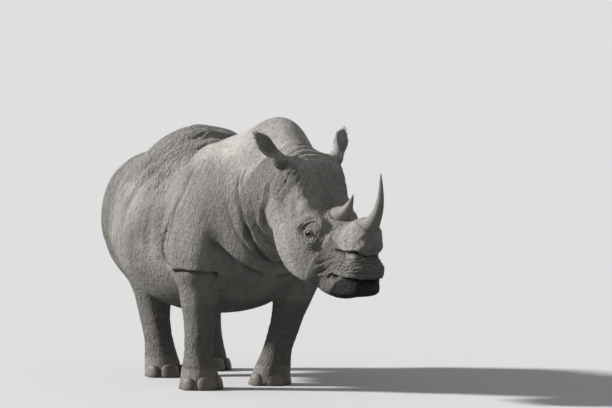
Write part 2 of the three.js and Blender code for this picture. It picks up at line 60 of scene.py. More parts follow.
# ==== Skin ====================================================================================
# One hide covers trunk, neck, head, ears, legs and tail, with no seam. It is dry, grey, almost
# bare and deeply folded. The forms are distance fields, negative inside; the surface where they
# are zero is meshed, made finer at the face and folds, and then creased along its normals.

F = np.float32  # the precision of every point


def turned(yaw, pitch, roll=0.0):
    """Turned axes, as rows forward, left and up: yaw to the left, then pitch nose down, then
    roll that lifts the left. Degrees."""
    yaw, pitch, roll = np.radians([yaw, pitch, roll])
    forward = np.array([np.cos(pitch) * np.cos(yaw), np.cos(pitch) * np.sin(yaw), -np.sin(pitch)])
    level = np.array([-np.sin(yaw), np.cos(yaw), 0.0])
    raised = np.cross(forward, level)
    left = level * np.cos(roll) + raised * np.sin(roll)
    up = raised * np.cos(roll) - level * np.sin(roll)
    return np.array([forward, left, up], F)


POLL = np.array([1.29, 0.095, 1.52], F)  # top of the head, between the ears
HEAD_PITCH = 37
HEAD_AXES = turned(16, HEAD_PITCH)


def to_head(points):
    """Body axes to head axes: forward along the skull, left, and up out of the forehead."""
    return HEAD_AXES @ (points - POLL[:, None])


def from_head(points):
    """Head axes to body axes, for one point or for many as columns."""
    points = np.asarray(points, F)
    return HEAD_AXES.T @ points + (POLL[:, None] if points.ndim == 2 else POLL)


def unit(vector):
    """The vector over its own length."""
    return vector / np.linalg.norm(vector)


def join(a, b, blend):
    """The smaller of two fields, rounded where they are nearly equal into a fillet."""
    share = np.maximum(blend - np.abs(a - b), 0) / blend
    return np.minimum(a, b) - share * share * blend * 0.25


def overlap(a, b, blend):
    """The larger of two fields, rounded in the same way: what lies inside both."""
    return -join(-a, -b, blend)


def along(rows, place):
    """A smooth curve through a table's rows, whose first column is the place along it: cubic
    pieces whose slope at each row is the mean of the slopes on both sides."""
    rows = np.asarray(rows, F)
    stations, values = rows[:, 0], rows[:, 1:]
    slopes = np.gradient(values, stations, axis=0)
    place = np.clip(place, stations[0], stations[-1])
    row = np.clip(np.searchsorted(stations, place, side="right") - 1, 0, len(stations) - 2)
    span = (stations[row + 1] - stations[row])[:, None]
    t = (place - stations[row])[:, None] / span
    start = (1 + 2 * t) * (1 - t) ** 2 * values[row] + t * (1 - t) ** 2 * span * slopes[row]
    end = t * t * (3 - 2 * t) * values[row + 1] + t * t * (t - 1) * span * slopes[row + 1]
    return (start + end).T


def loft(rows, points, rounding):
    """A loft of ovals. Rows are place, centre across, centre up, half width, height above,
    depth below, and power; points are place, across, up."""
    place, across, up = points
    across_centre, up_centre, half, above, below, power = along(rows, place)
    rise = up - up_centre
    height = np.where(rise > 0, above, below)
    wide = np.abs(across - across_centre) / half
    tall = np.abs(rise) / height
    side = ((wide ** power + tall ** power) ** (1 / power) - 1) * np.minimum(half, height)
    if rounding == 0:
        return side
    return overlap(side, np.maximum(rows[0][0] - place, place - rows[-1][0]), rounding)


def ellipsoid(points, centre, radii, axes=None):
    """Nearly the distance to an ellipsoid: s less one, over the slope of s, where s is a point's
    distance from the centre counted in radii."""
    away = points - np.asarray(centre, F)[:, None]
    away = away if axes is None else axes @ away
    radii = np.asarray(radii, F)[:, None]
    scaled = np.sqrt(((away / radii) ** 2).sum(0))
    steep = np.sqrt(((away / radii ** 2) ** 2).sum(0)) + 1e-9
    return scaled * (scaled - 1) / steep


def block(points, radii, power):
    """A box-like form with round faces: the higher the power, the squarer."""
    radii = np.asarray(radii, F)[:, None]
    return ((np.abs(points / radii) ** power).sum(0) ** (1 / power) - 1) * radii.min()


def rod(points, start, end, radius_start, radius_end):
    """A tapering rod with round ends: the distance to its middle line, less the radius there."""
    start, end = np.asarray(start, F)[:, None], np.asarray(end, F)[:, None]
    run = end - start
    t = np.clip(((points - start) * run).sum(0) / (run * run).sum(), 0, 1)
    radius = radius_start + (radius_end - radius_start) * t
    return np.sqrt(((points - start - run * t) ** 2).sum(0)) - radius


# The trunk from rump to neck, and the head from nape to lips, as sections for loft().
TRUNK = [(-1.16, 0, 1.08, 0.22, 0.24, 0.22, 2.0), (-1.02, 0, 1.05, 0.345, 0.39, 0.30, 2.0),
         (-0.75, 0, 0.98, 0.47, 0.535, 0.34, 2.0), (-0.34, 0, 0.89, 0.60, 0.76, 0.42, 2.0),
         (0.12, 0, 0.91, 0.57, 0.555, 0.45, 2.1), (0.50, 0.01, 1.00, 0.43, 0.60, 0.44, 2.1),
         (0.85, 0.04, 1.10, 0.31, 0.52, 0.40, 2.0), (1.02, 0.05, 1.12, 0.24, 0.42, 0.32, 2.0)]
HEAD = [(-0.12, 0, -0.20, 0.160, 0.170, 0.170, 2.1), (0.00, 0, -0.20, 0.200, 0.215, 0.220, 2.6),
        (0.10, 0, -0.21, 0.215, 0.235, 0.250, 3.6), (0.22, 0, -0.24, 0.205, 0.208, 0.290, 3.7),
        (0.35, 0, -0.28, 0.188, 0.182, 0.290, 3.4), (0.48, 0, -0.31, 0.162, 0.207, 0.280, 2.6),
        (0.59, 0, -0.31, 0.125, 0.240, 0.270, 2.4), (0.70, 0, -0.29, 0.110, 0.290, 0.260, 2.4),
        (0.80, 0, -0.27, 0.105, 0.270, 0.225, 2.4), (0.89, 0, -0.25, 0.100, 0.200, 0.170, 2.4)]
# A leg's place is minus its height; across is forward, up is to the left.
FORELEG = [(-0.95, 0, 0, 0.180, 0.160, 0.160, 2.2), (-0.70, 0, 0, 0.162, 0.140, 0.140, 2.2),
           (-0.56, 0.005, 0, 0.135, 0.120, 0.120, 2.2), (-0.45, 0.008, 0, 0.114, 0.102, 0.102, 2.1),
           (-0.34, 0.008, 0, 0.103, 0.096, 0.096, 2.1), (-0.22, 0, 0, 0.098, 0.095, 0.095, 2.1),
           (-0.10, 0.012, 0, 0.118, 0.117, 0.117, 2.2), (0.0, 0.025, 0, 0.136, 0.132, 0.132, 2.3)]
HINDLEG = [(-1.05, -0.08, 0, 0.300, 0.180, 0.180, 2.2), (-0.80, -0.02, 0, 0.235, 0.170, 0.170, 2.2),
           (-0.58, -0.03, 0, 0.155, 0.130, 0.130, 2.2), (-0.42, -0.06, 0, 0.122, 0.102, 0.102, 2.1),
           (-0.22, -0.02, 0, 0.095, 0.095, 0.095, 2.1), (-0.10, 0, 0, 0.114, 0.112, 0.112, 2.2),
           (0.0, 0.020, 0, 0.130, 0.126, 0.126, 2.3)]
# The tail: back, height and radius at each joint of its fleshy part.
TAIL = [(-1.06, 1.15, 0.060), (-1.165, 1.06, 0.046), (-1.198, 0.96, 0.032), (-1.206, 0.84, 0.024),
        (-1.200, 0.72, 0.019), (-1.196, 0.60, 0.017)]
# An ear's sections: share of its length, half width, half depth.
EAR = [(-0.20, 0.044, 0.044), (0.0, 0.047, 0.045), (0.20, 0.044, 0.040), (0.42, 0.052, 0.036),
       (0.62, 0.057, 0.029), (0.80, 0.043, 0.021), (0.93, 0.021, 0.011), (1.0, 0.006, 0.005)]


def ear_stance(root, tip, facing):
    """Root, length and axes of an ear: along it, across it, and out of its cup."""
    root, tip = np.array(root, F), np.array(tip, F)
    axis = unit(tip - root)
    wide = unit(np.cross(np.array(facing, F), axis))
    return root, np.linalg.norm(tip - root), np.array([axis, wide, np.cross(axis, wide)], F)


EARS = {"right": ear_stance((-0.012, -0.235, -0.025), (-0.168, -0.352, 0.058), (0.62, 0.10, 0.50)),
        "left": ear_stance((-0.012, 0.235, -0.025), (-0.172, 0.360, 0.062), (0.62, 0.0, 0.50))}
# The nose, the upper lip, and the lower lip with the chin, as blocks: place ahead and up, radii,
# power, and width of the join.
NOSE_BLOCKS = [((0.742, -0.088), (0.100, 0.110, 0.125), 2.4, 0.05),
               ((0.822, -0.238), (0.125, 0.138, 0.080), 3.0, 0.035),
               ((0.872, -0.348), (0.122, 0.122, 0.056), 3.0, 0.03)]
# The hollow that rounds the nose off above the upper lip: its middle line, left half.
NOSE_UNDERCUT = [(0.790, 0.165, -0.135), (0.872, 0.142, -0.106), (0.925, 0.0, -0.086)]
# The cheek bone, the brow and the ear's base, as rods: ends, radii, and width of the join.
HEAD_RODS = [((0.14, 0.150, -0.21), (0.48, 0.130, -0.31), 0.055, 0.050, 0.05),
             ((0.33, 0.150, -0.165), (0.48, 0.125, -0.165), 0.045, 0.038, 0.04),
             ((0.035, 0.130, -0.085), (-0.008, 0.215, -0.030), 0.098, 0.034, 0.06)]
EYE_AT = np.array([0.453, 0.168, -0.245], F)  # left eye's centre, in the head's axes
EYE_RADIUS = 0.021
EYE_AXES = np.array([unit(np.array(axis)) for axis in
                     [(0.91, -0.40, -0.10), (0.40, 0.91, 0.06), (0.07, -0.09, 0.99)]], F)
LID = 0.0040  # how far the lids stand off the eyeball
NECK_START, NECK_END = np.array([0.80, 0.04, 1.18]), from_head((0.04, 0, -0.22))
KNEE_HEIGHT = 0.64


def trunk_form(points):
    """The trunk's loft joined with the neck's crest and the withers, and with the haunch, thigh and
    shoulder of each side."""
    form = loft(TRUNK, points, 0.25)
    form = join(form, ellipsoid(points, (0.86, 0.075, 1.40), (0.33, 0.19, 0.33)), 0.16)
    form = join(form, ellipsoid(points, (0.50, 0, 1.36), (0.30, 0.26, 0.24)), 0.15)
    for side, sign in SIDES.items():
        form = join(form, ellipsoid(points, (-0.80, sign * 0.25, 1.01), (0.31, 0.245, 0.40)), 0.14)
        foot, lean = HINDLEGS[side]
        climb = KNEE_HEIGHT / LEAN_HEIGHT
        knee = (foot[0] + lean[0] * climb - 0.02, foot[1] + lean[1] * climb, KNEE_HEIGHT)
        form = join(form, rod(points, (-0.85, sign * 0.215, 1.08), knee, 0.245, 0.135), 0.10)
        leaning = turned(0, 0, sign * 10)
        shoulder = ellipsoid(points, (0.47, sign * 0.31, 1.10), (0.29, 0.187, 0.46), leaning)
        form = join(form, shoulder, 0.06)
    return form


def levelled(points, at):
    """Turns points about the head's left axis so that the result lies level with the ground."""
    pitch = np.radians(HEAD_PITCH)
    x, z = points[0] - at[0], points[2] - at[1]
    return np.stack([x * np.cos(pitch) + z * np.sin(pitch), points[1],
                     z * np.cos(pitch) - x * np.sin(pitch)])


def one_side(points):
    """Head axes with the right half laid over the left: the side counts from the middle."""
    return np.stack([points[0], np.abs(points[1]), points[2]])


def head_form(points):
    """Skull, nose, lips, jaw muscle, cheek bone, brow, ear base, eye socket, lids and ears."""
    left = one_side(points)
    form = loft(HEAD, points, 0.06)
    for place, radii, power, blend in NOSE_BLOCKS:
        form = join(form, block(levelled(points, place), radii, power), blend)
    for start, end in zip(NOSE_UNDERCUT, NOSE_UNDERCUT[1:]):
        form = overlap(form, -rod(left, start, end, 0.050, 0.050), 0.03)
    form = join(form, ellipsoid(left, (0.38, 0.10, -0.42), (0.24, 0.095, 0.18)), 0.06)
    for start, end, radius_start, radius_end, blend in HEAD_RODS:
        form = join(form, rod(left, start, end, radius_start, radius_end), blend)
    form = overlap(form, -ellipsoid(left, (0.452, 0.221, -0.224), (0.054, 0.034, 0.042)), 0.04)
    lids = np.sqrt(((left - EYE_AT[:, None]) ** 2).sum(0)) - EYE_RADIUS - LID
    form = join(form, lids, 0.026)
    for root, length, axes in EARS.values():
        rows = [(share * length, 0, 0, half, depth, depth, 2.0) for share, half, depth in EAR]
        form = join(form, loft(rows, axes @ (points - root[:, None]), 0.010), 0.02)
    return form


def legs_form(points):
    """Four lofts, each shifted by its lean the higher it is, and cut off inside the trunk."""
    forms = []
    climb = np.clip(points[2] / LEAN_HEIGHT, 0, 1.2)
    for rows, stances in ((FORELEG, FORELEGS), (HINDLEG, HINDLEGS)):
        for foot, lean in stances.values():
            forward = points[0] - foot[0] - lean[0] * climb
            left = points[1] - foot[1] - lean[1] * climb
            forms.append(loft(rows, (-points[2], forward, left), 0))
    return overlap(np.min(forms, 0), points[2] - 1.05, 0.2)


def tail_form(points):
    """A chain of tapering rods from joint to joint."""
    form = None
    for (x0, z0, r0), (x1, z1, r1) in zip(TAIL, TAIL[1:]):
        joint = rod(points, (x0, 0, z0), (x1, 0, z1), r0, r1)
        form = joint if form is None else join(form, joint, 0.01)
    return form


def flesh(points):
    """The whole animal without its folds: trunk, neck, head, legs and tail, flat at the ground."""
    form = join(trunk_form(points), rod(points, NECK_START, NECK_END, 0.34, 0.21), 0.15)
    form = join(form, head_form(to_head(points)), 0.06)
    form = join(form, legs_form(points), 0.04)
    form = join(form, tail_form(points), 0.03)
    return overlap(form, -points[2], 0.004)


def net(field, low, high, cell, coarse=4):
    """Meshes the surface where a field is zero, as surface nets: one point for each cell that the
    surface crosses, at the mean of its crossings, and two triangles for each grid edge that it
    crosses. The field is worked out on a coarse grid first, then finely only near the surface."""
    low, high = np.array(low), np.array(high)
    count = np.ceil((high - low) / (cell * coarse)).astype(int) * coarse
    middles = [low[i] + cell * coarse * (np.arange(count[i] // coarse) + 0.5) for i in range(3)]
    rough = field(np.stack(np.meshgrid(*middles, indexing="ij")).reshape(3, -1).astype(F))
    rough = rough.reshape(count // coarse)

    def spread(values):
        """Values of the coarse cells, repeated for the fine grid's points."""
        for axis in range(3):
            values = np.repeat(values, coarse, axis)
        return np.pad(values, ((0, 1),) * 3, mode="edge")

    values = spread(rough).astype(F)
    near = spread(np.abs(rough) < cell * coarse * 1.8)
    for axis in range(3):
        near |= np.roll(near, 1, axis)
    index = np.nonzero(near)
    places = np.stack([low[i] + cell * index[i] for i in range(3)]).astype(F)
    values[index] = np.concatenate([field(part) for part in np.array_split(places, 6, axis=1)])

    shape = np.array(values.shape) - 1
    total, crossings = np.zeros((*shape, 3), F), np.zeros(shape, int)
    faces = []
    for axis in range(3):
        first, last = [slice(None)] * 3, [slice(None)] * 3
        first[axis], last[axis] = slice(0, -1), slice(1, None)
        a, b = values[tuple(first)], values[tuple(last)]
        crossed = (a < 0) != (b < 0)
        corner = np.stack(np.nonzero(crossed), 1)
        a, b = a[crossed], b[crossed]
        place = corner.astype(F)
        place[:, axis] += a / (a - b)
        ring = []
        for du, dv in ((0, 0), (-1, 0), (-1, -1), (0, -1)):
            beside = corner.copy()
            beside[:, (axis + 1) % 3] += du
            beside[:, (axis + 2) % 3] += dv
            key = tuple(beside.T)
            np.add.at(total, key, place)
            np.add.at(crossings, key, 1)
            ring.append(np.ravel_multi_index(key, shape))
        ring = np.stack(ring, 1)
        ring[a >= 0] = ring[a >= 0][:, ::-1]
        faces.append(ring)
    faces = np.concatenate(faces)
    used = np.flatnonzero(crossings)
    number = np.zeros(crossings.size, int)
    number[used] = np.arange(len(used))
    points = total.reshape(-1, 3)[used] / crossings.ravel()[used, None] * cell + low
    faces = number[faces]
    return points.T.astype(F), np.concatenate([faces[:, [0, 1, 2]], faces[:, [0, 2, 3]]])


def slope_of(field, points, probe=0.001):
    """The field's slope along each axis, from its values on both sides of a point."""
    slopes = []
    for axis in range(3):
        step = np.zeros((3, 1), F)
        step[axis] = probe
        slopes.append(field(points + step) - field(points - step))
    return np.stack(slopes) / (2 * probe)


def settle(points, most=0.012, passes=2):
    """Moves points along the flesh's slope until the field there is zero."""
    for _ in range(passes):
        slope = slope_of(flesh, points)
        step = -flesh(points) / np.maximum((slope * slope).sum(0), 0.05) * slope
        length = np.sqrt((step * step).sum(0)) + 1e-9
        points = (points + step * np.minimum(1, most / length)).astype(F)
    return points


def split(points, triangles, wanted):
    """Halves each edge that is longer than wanted(its middle), and cuts every triangle into two,
    three or four through the new points, so that no gap opens."""
    edges = np.sort(triangles[:, [[0, 1], [1, 2], [2, 0]]], axis=2)
    keys, number = np.unique(edges[..., 0] * points.shape[1] + edges[..., 1], return_inverse=True)
    a, b = keys // points.shape[1], keys % points.shape[1]
    middle = (points[:, a] + points[:, b]) / 2
    long = np.sqrt(((points[:, a] - points[:, b]) ** 2).sum(0)) > wanted(middle)
    new = np.where(long, points.shape[1] + np.cumsum(long) - 1, -1)[number.reshape(-1, 3)]
    corners = np.concatenate([triangles, new], 1)  # corners 0 1 2, middles of 01 12 20 as 3 4 5
    cases = (new >= 0) @ [1, 2, 4]
    cuts = {0: [(0, 1, 2)], 1: [(0, 3, 2), (3, 1, 2)], 2: [(0, 1, 4), (0, 4, 2)],
            4: [(0, 1, 5), (5, 1, 2)], 3: [(3, 1, 4), (0, 3, 4), (0, 4, 2)],
            6: [(4, 2, 5), (0, 1, 4), (0, 4, 5)], 5: [(0, 3, 5), (3, 1, 2), (3, 2, 5)],
            7: [(0, 3, 5), (3, 1, 4), (5, 4, 2), (3, 4, 5)]}
    pieces = [corners[cases == case][:, cut] for case, cut_list in cuts.items() for cut in cut_list]
    fresh = settle(middle[:, long], 0.006)
    return np.concatenate([points, fresh], 1), np.concatenate(pieces)


def path_through(rows, spacing):
    """Points along a smooth curve through a few given ones, about a spacing apart."""
    rows = np.array(rows, float)
    run = np.concatenate([[0], np.cumsum(np.linalg.norm(np.diff(rows, axis=0), axis=1))])
    place = np.linspace(0, run[-1], int(run[-1] / spacing) + 2)
    return along(np.column_stack([run, rows]), place).astype(F)


folds = []


def fold(rows, width, depth, puff=0.0, toward=(0, 0, 1), of_head=False, sides=(-1, 1)):
    """A crease along a path on the right side, and its mirror on the left. The skin sinks by
    depth within about width of the path, and swells by puff beside it on the side of toward."""
    for sign in sides:
        mirror = np.array([1, -sign, 1])
        path = path_through(np.array(rows) * mirror, width * 0.4)
        side = np.array(toward, F) * mirror
        if of_head:
            path, side = from_head(path), HEAD_AXES.T @ side
        folds.append((settle(path, 0.02, 4), width, depth, puff, side.astype(F)))


# Folds of the trunk and neck, in the body's axes, on its right side. The shoulder's rear edge:
fold([(0.48, -0.47, 1.26), (0.45, -0.48, 1.20), (0.40, -0.50, 1.10), (0.335, -0.515, 0.98),
      (0.325, -0.51, 0.90), (0.335, -0.49, 0.83), (0.365, -0.475, 0.785),
      (0.40, -0.47, 0.772)],
     width=0.016, depth=0.022, puff=0.020, toward=(1, 0, 0.5))
# the shaded crease behind that edge
fold([(0.40, -0.50, 1.14), (0.345, -0.51, 1.05), (0.298, -0.515, 0.98), (0.284, -0.51, 0.90),
      (0.294, -0.50, 0.83), (0.325, -0.485, 0.785), (0.372, -0.475, 0.760)],
     width=0.012, depth=0.016, puff=0, toward=(-1, 0, 0))
# the hollow over the shoulder blade
fold([(0.53, -0.38, 1.42), (0.52, -0.44, 1.28), (0.47, -0.48, 1.16), (0.44, -0.50, 1.07)],
     width=0.030, depth=0.009, puff=0.008, toward=(1, 0, 0))
# the deep fold down the side of the neck, and a shallow one on either side of it
fold([(0.92, -0.25, 1.46), (0.945, -0.26, 1.30), (0.980, -0.21, 1.13), (0.995, -0.17, 0.98),
      (0.980, -0.10, 0.88), (0.95, 0.04, 0.82)],
     width=0.020, depth=0.013, puff=0.010, toward=(1, 0, 0.3))
fold([(0.86, -0.28, 1.24), (0.90, -0.23, 1.06), (0.93, -0.16, 0.93), (0.90, -0.02, 0.83)],
     width=0.013, depth=0.006, puff=0.005, toward=(1, 0, 0))
fold([(1.04, -0.15, 1.26), (1.05, -0.14, 1.10), (1.06, -0.10, 0.98), (1.04, 0.04, 0.90)],
     width=0.013, depth=0.006, puff=0.005, toward=(1, 0, 0))
# the loose fold across the breast
fold([(0.70, -0.37, 1.00), (0.78, -0.30, 0.90), (0.84, -0.18, 0.82), (0.86, 0.0, 0.77)],
     width=0.020, depth=0.010, puff=0.007, toward=(1, 0, 0.4))
# three faint folds up the ribs
for flank in ([(-0.60, -0.53, 0.90), (-0.567, -0.523, 1.13), (-0.534, -0.493, 1.245),
               (-0.354, -0.468, 1.357), (-0.22, -0.413, 1.427), (-0.114, -0.327, 1.476)],
              [(-0.22, -0.594, 0.98), (-0.211, -0.576, 1.118), (-0.175, -0.533, 1.236),
               (-0.105, -0.455, 1.348), (-0.043, -0.374, 1.415)],
              [(0.047, -0.581, 0.90), (0.04, -0.557, 1.098), (0.036, -0.507, 1.226),
               (0.044, -0.441, 1.322), (0.079, -0.351, 1.40)]):
    fold(flank, width=0.040, depth=0.005, puff=0.004, toward=(1, 0, 0))
# the fold from flank to thigh, and the one down the back of the thigh
fold([(-0.33, -0.50, 0.60), (-0.40, -0.53, 0.72), (-0.48, -0.53, 0.86), (-0.54, -0.52, 1.02),
      (-0.57, -0.49, 1.16)],
     width=0.024, depth=0.009, puff=0.010, toward=(-1, 0, 0))
fold([(-1.00, -0.26, 1.38), (-0.99, -0.36, 1.20), (-0.97, -0.40, 1.02), (-0.92, -0.39, 0.86),
      (-0.86, -0.36, 0.72)],
     width=0.022, depth=0.006, puff=0.006, toward=(1, 0, 0))

# The fold that each foreleg comes out of, like a cuff, as a ring round the leg.
CUFF_HEIGHT = 0.760
for name, sign in SIDES.items():
    turn = np.radians(np.arange(-120, 121, 15))
    foot, lean = FORELEGS[name]
    centre = np.array(foot) + np.array(lean) * 0.77 / LEAN_HEIGHT
    ring = np.column_stack([centre[0] + 0.17 * np.cos(turn), centre[1] + sign * 0.16 * np.sin(turn),
                            CUFF_HEIGHT + 0.030 * np.cos(turn)])
    fold(ring * [1, -sign, 1], width=0.012, depth=0.022, puff=0.015, toward=(0, 0, 1), sides=(sign,))

# Folds of the head, in its own axes, on its right side. Round the temple, and behind the jaw:
fold([(0.050, -0.09, 0.012), (0.100, -0.165, -0.020), (0.118, -0.205, -0.085), (0.120, -0.217, -0.150),
      (0.105, -0.218, -0.230)],
     width=0.006, depth=0.005, puff=0.005, toward=(-1, 0, 0), of_head=True)
fold([(-0.03, -0.20, -0.20), (0.045, -0.216, -0.30), (0.045, -0.205, -0.40), (0.09, -0.17, -0.52)],
     width=0.020, depth=0.010, puff=0.005, toward=(-1, 0, 0), of_head=True)
# the crease over the upper lid, the brow above it, and the bags below the eye
fold([(0.402, -0.190, -0.262), (0.408, -0.187, -0.222), (0.424, -0.178, -0.188), (0.448, -0.165, -0.162),
      (0.484, -0.155, -0.152)],
     width=0.0042, depth=0.0040, puff=0.004, toward=(-1, 0, 1), of_head=True)
fold([(0.376, -0.200, -0.290), (0.378, -0.195, -0.230), (0.392, -0.182, -0.178), (0.420, -0.163, -0.137),
      (0.465, -0.142, -0.124), (0.505, -0.130, -0.140)],
     width=0.017, depth=-0.008, puff=0, toward=(0, 0, 1), of_head=True)
fold([(0.418, -0.180, -0.262), (0.426, -0.180, -0.230), (0.448, -0.172, -0.208), (0.478, -0.160, -0.208)],
     width=0.0045, depth=0.003, puff=0.005, toward=(-1, 0, 1), of_head=True)
fold([(0.500, -0.150, -0.262), (0.506, -0.148, -0.225), (0.502, -0.148, -0.190)],
     width=0.005, depth=0.006, puff=0.003, toward=(1, 0, 0), of_head=True)
# the groove between nose and upper lip, which the nostril opens above
fold([(0.640, -0.11, -0.225), (0.690, -0.11, -0.195), (0.740, -0.112, -0.166), (0.79, -0.112, -0.131),
      (0.846, -0.101, -0.113), (0.882, -0.060, -0.101), (0.890, 0.0, -0.092), (0.882, 0.060, -0.101)],
     width=0.010, depth=0.020, puff=0.008, toward=(0, 0, 1), of_head=True)
# two folds across the cheek behind the lips
fold([(0.600, -0.115, -0.44), (0.648, -0.115, -0.403), (0.681, -0.112, -0.335), (0.731, -0.122, -0.264),
      (0.794, -0.130, -0.199)],
     width=0.009, depth=0.007, puff=0.006, toward=(1, 0, 0), of_head=True)
fold([(0.570, -0.115, -0.40), (0.620, -0.115, -0.345), (0.665, -0.112, -0.285), (0.700, -0.120, -0.235)],
     width=0.008, depth=0.006, puff=0.005, toward=(1, 0, 0), of_head=True)
# the mouth, from the pinched corner round to the front, and the fold that hangs round its corner
fold([(0.735, -0.105, -0.385), (0.745, -0.11, -0.355), (0.796, -0.125, -0.311), (0.837, -0.126, -0.290),
      (0.880, -0.121, -0.262), (0.919, -0.102, -0.241), (0.942, -0.042, -0.233), (0.945, 0.03, -0.233)],
     width=0.0085, depth=0.026, puff=0.006, toward=(0, 0, 1), of_head=True)
fold([(0.700, -0.105, -0.420), (0.712, -0.108, -0.375), (0.745, -0.11, -0.338), (0.790, -0.122, -0.318)],
     width=0.008, depth=0.012, puff=0.008, toward=(-1, 0, 1), of_head=True)


AT_ONCE = 3000000  # distances worked out at a time, which keeps the memory small


def from_fold(points, path, reach):
    """Which points are within a path's box grown by reach, how far each is from the path, the way
    there, and the share of the path's length at its nearest point."""
    low, high = path.min(1) - reach, path.max(1) + reach
    near = np.flatnonzero(((points > low[:, None]) & (points < high[:, None])).all(0))
    distance, away, share = [np.zeros(0, F)], [np.zeros((3, 0), F)], [np.zeros(0, F)]
    for part in np.array_split(near, len(near) * path.shape[1] // AT_ONCE + 1):
        gap = points[:, part, None] - path[:, None, :]
        square = (gap ** 2).sum(0)
        nearest = square.argmin(1)
        distance.append(np.sqrt(square[np.arange(len(part)), nearest]))
        away.append(points[:, part] - path[:, nearest])
        share.append(nearest / (path.shape[1] - 1))
    return near, np.concatenate(distance), np.concatenate(away, 1), np.concatenate(share)


def eased(value):
    """Zero below 0, one above 1, and a smooth step between."""
    value = np.clip(value, 0, 1)
    return value * value * (3 - 2 * value)


def to_ear(points, side):
    """Body axes to an ear's own: share of its length, across it, and out of its cup."""
    root, length, axes = EARS[side]
    place, across, out = axes @ (to_head(points) - root[:, None])
    return place / length, across, out


def from_eye(points):
    """Place in the eye's own axes: forward along the slit, out, and up. Both eyes alike."""
    return EYE_AXES @ (one_side(to_head(points)) - EYE_AT[:, None])


FINE_EDGE = 0.017  # longest edge on the head, along the folds and on the crest of the back
MUZZLE_EDGE, EAR_EDGE, SOCKET_EDGE, NOSTRIL_EDGE, LID_EDGE = 0.009, 0.006, 0.0055, 0.0045, 0.0028


def wanted_edge(points):
    """How long an edge may be at each place, with no limit where the hide is plain."""
    wanted = np.full(points.shape[1], 1.0, F)
    for path, width, *_ in folds:
        near, distance, *_ = from_fold(points, path, width * 1.7)
        wanted[near[distance < width * 1.7]] = FINE_EDGE
    wanted[(np.abs(points[1]) < 0.16) & (points[2] > 1.3) & (points[0] < 0.35)] = FINE_EDGE
    head = to_head(points)
    wanted[(head[0] > -0.12) & (points[2] > 0.60) & (points[0] > 1.12)] = FINE_EDGE
    wanted[(head[0] > 0.62) & (points[2] > 0.60)] = MUZZLE_EDGE
    for side in SIDES:
        share, across, out = to_ear(points, side)
        wanted[(share > 0.05) & (share < 1.1) & (np.hypot(across, out) < 0.07)] = EAR_EDGE
    eye = np.sqrt((from_eye(points) ** 2).sum(0))
    wanted[eye < 0.11] = SOCKET_EDGE
    wanted[eye < 0.032] = LID_EDGE
    nostril = one_side(head) - np.array([[0.815], [0.11], [-0.118]], F)
    wanted[np.sqrt((nostril ** 2).sum(0)) < 0.05] = NOSTRIL_EDGE
    return wanted


def noise(points, size, seed):
    """Smooth noise from -1 to 1 or so: a sum of waves about a size long, in random directions."""
    rng = np.random.default_rng(seed)
    directions = rng.normal(size=(12, 3))
    directions *= (rng.uniform(0.6, 1.5, 12) / np.linalg.norm(directions, axis=1))[:, None]
    phases = rng.uniform(0, 2 * np.pi, 12)
    waves = np.sin(2 * np.pi / size * directions @ points + phases[:, None])
    return (waves.sum(0) / 3.5).astype(F)


def ridges(phase):
    """Rounded ridges with narrow furrows between them, one for each unit of phase, 0 to 1."""
    return np.sqrt(np.abs(np.sin(np.pi * phase)))


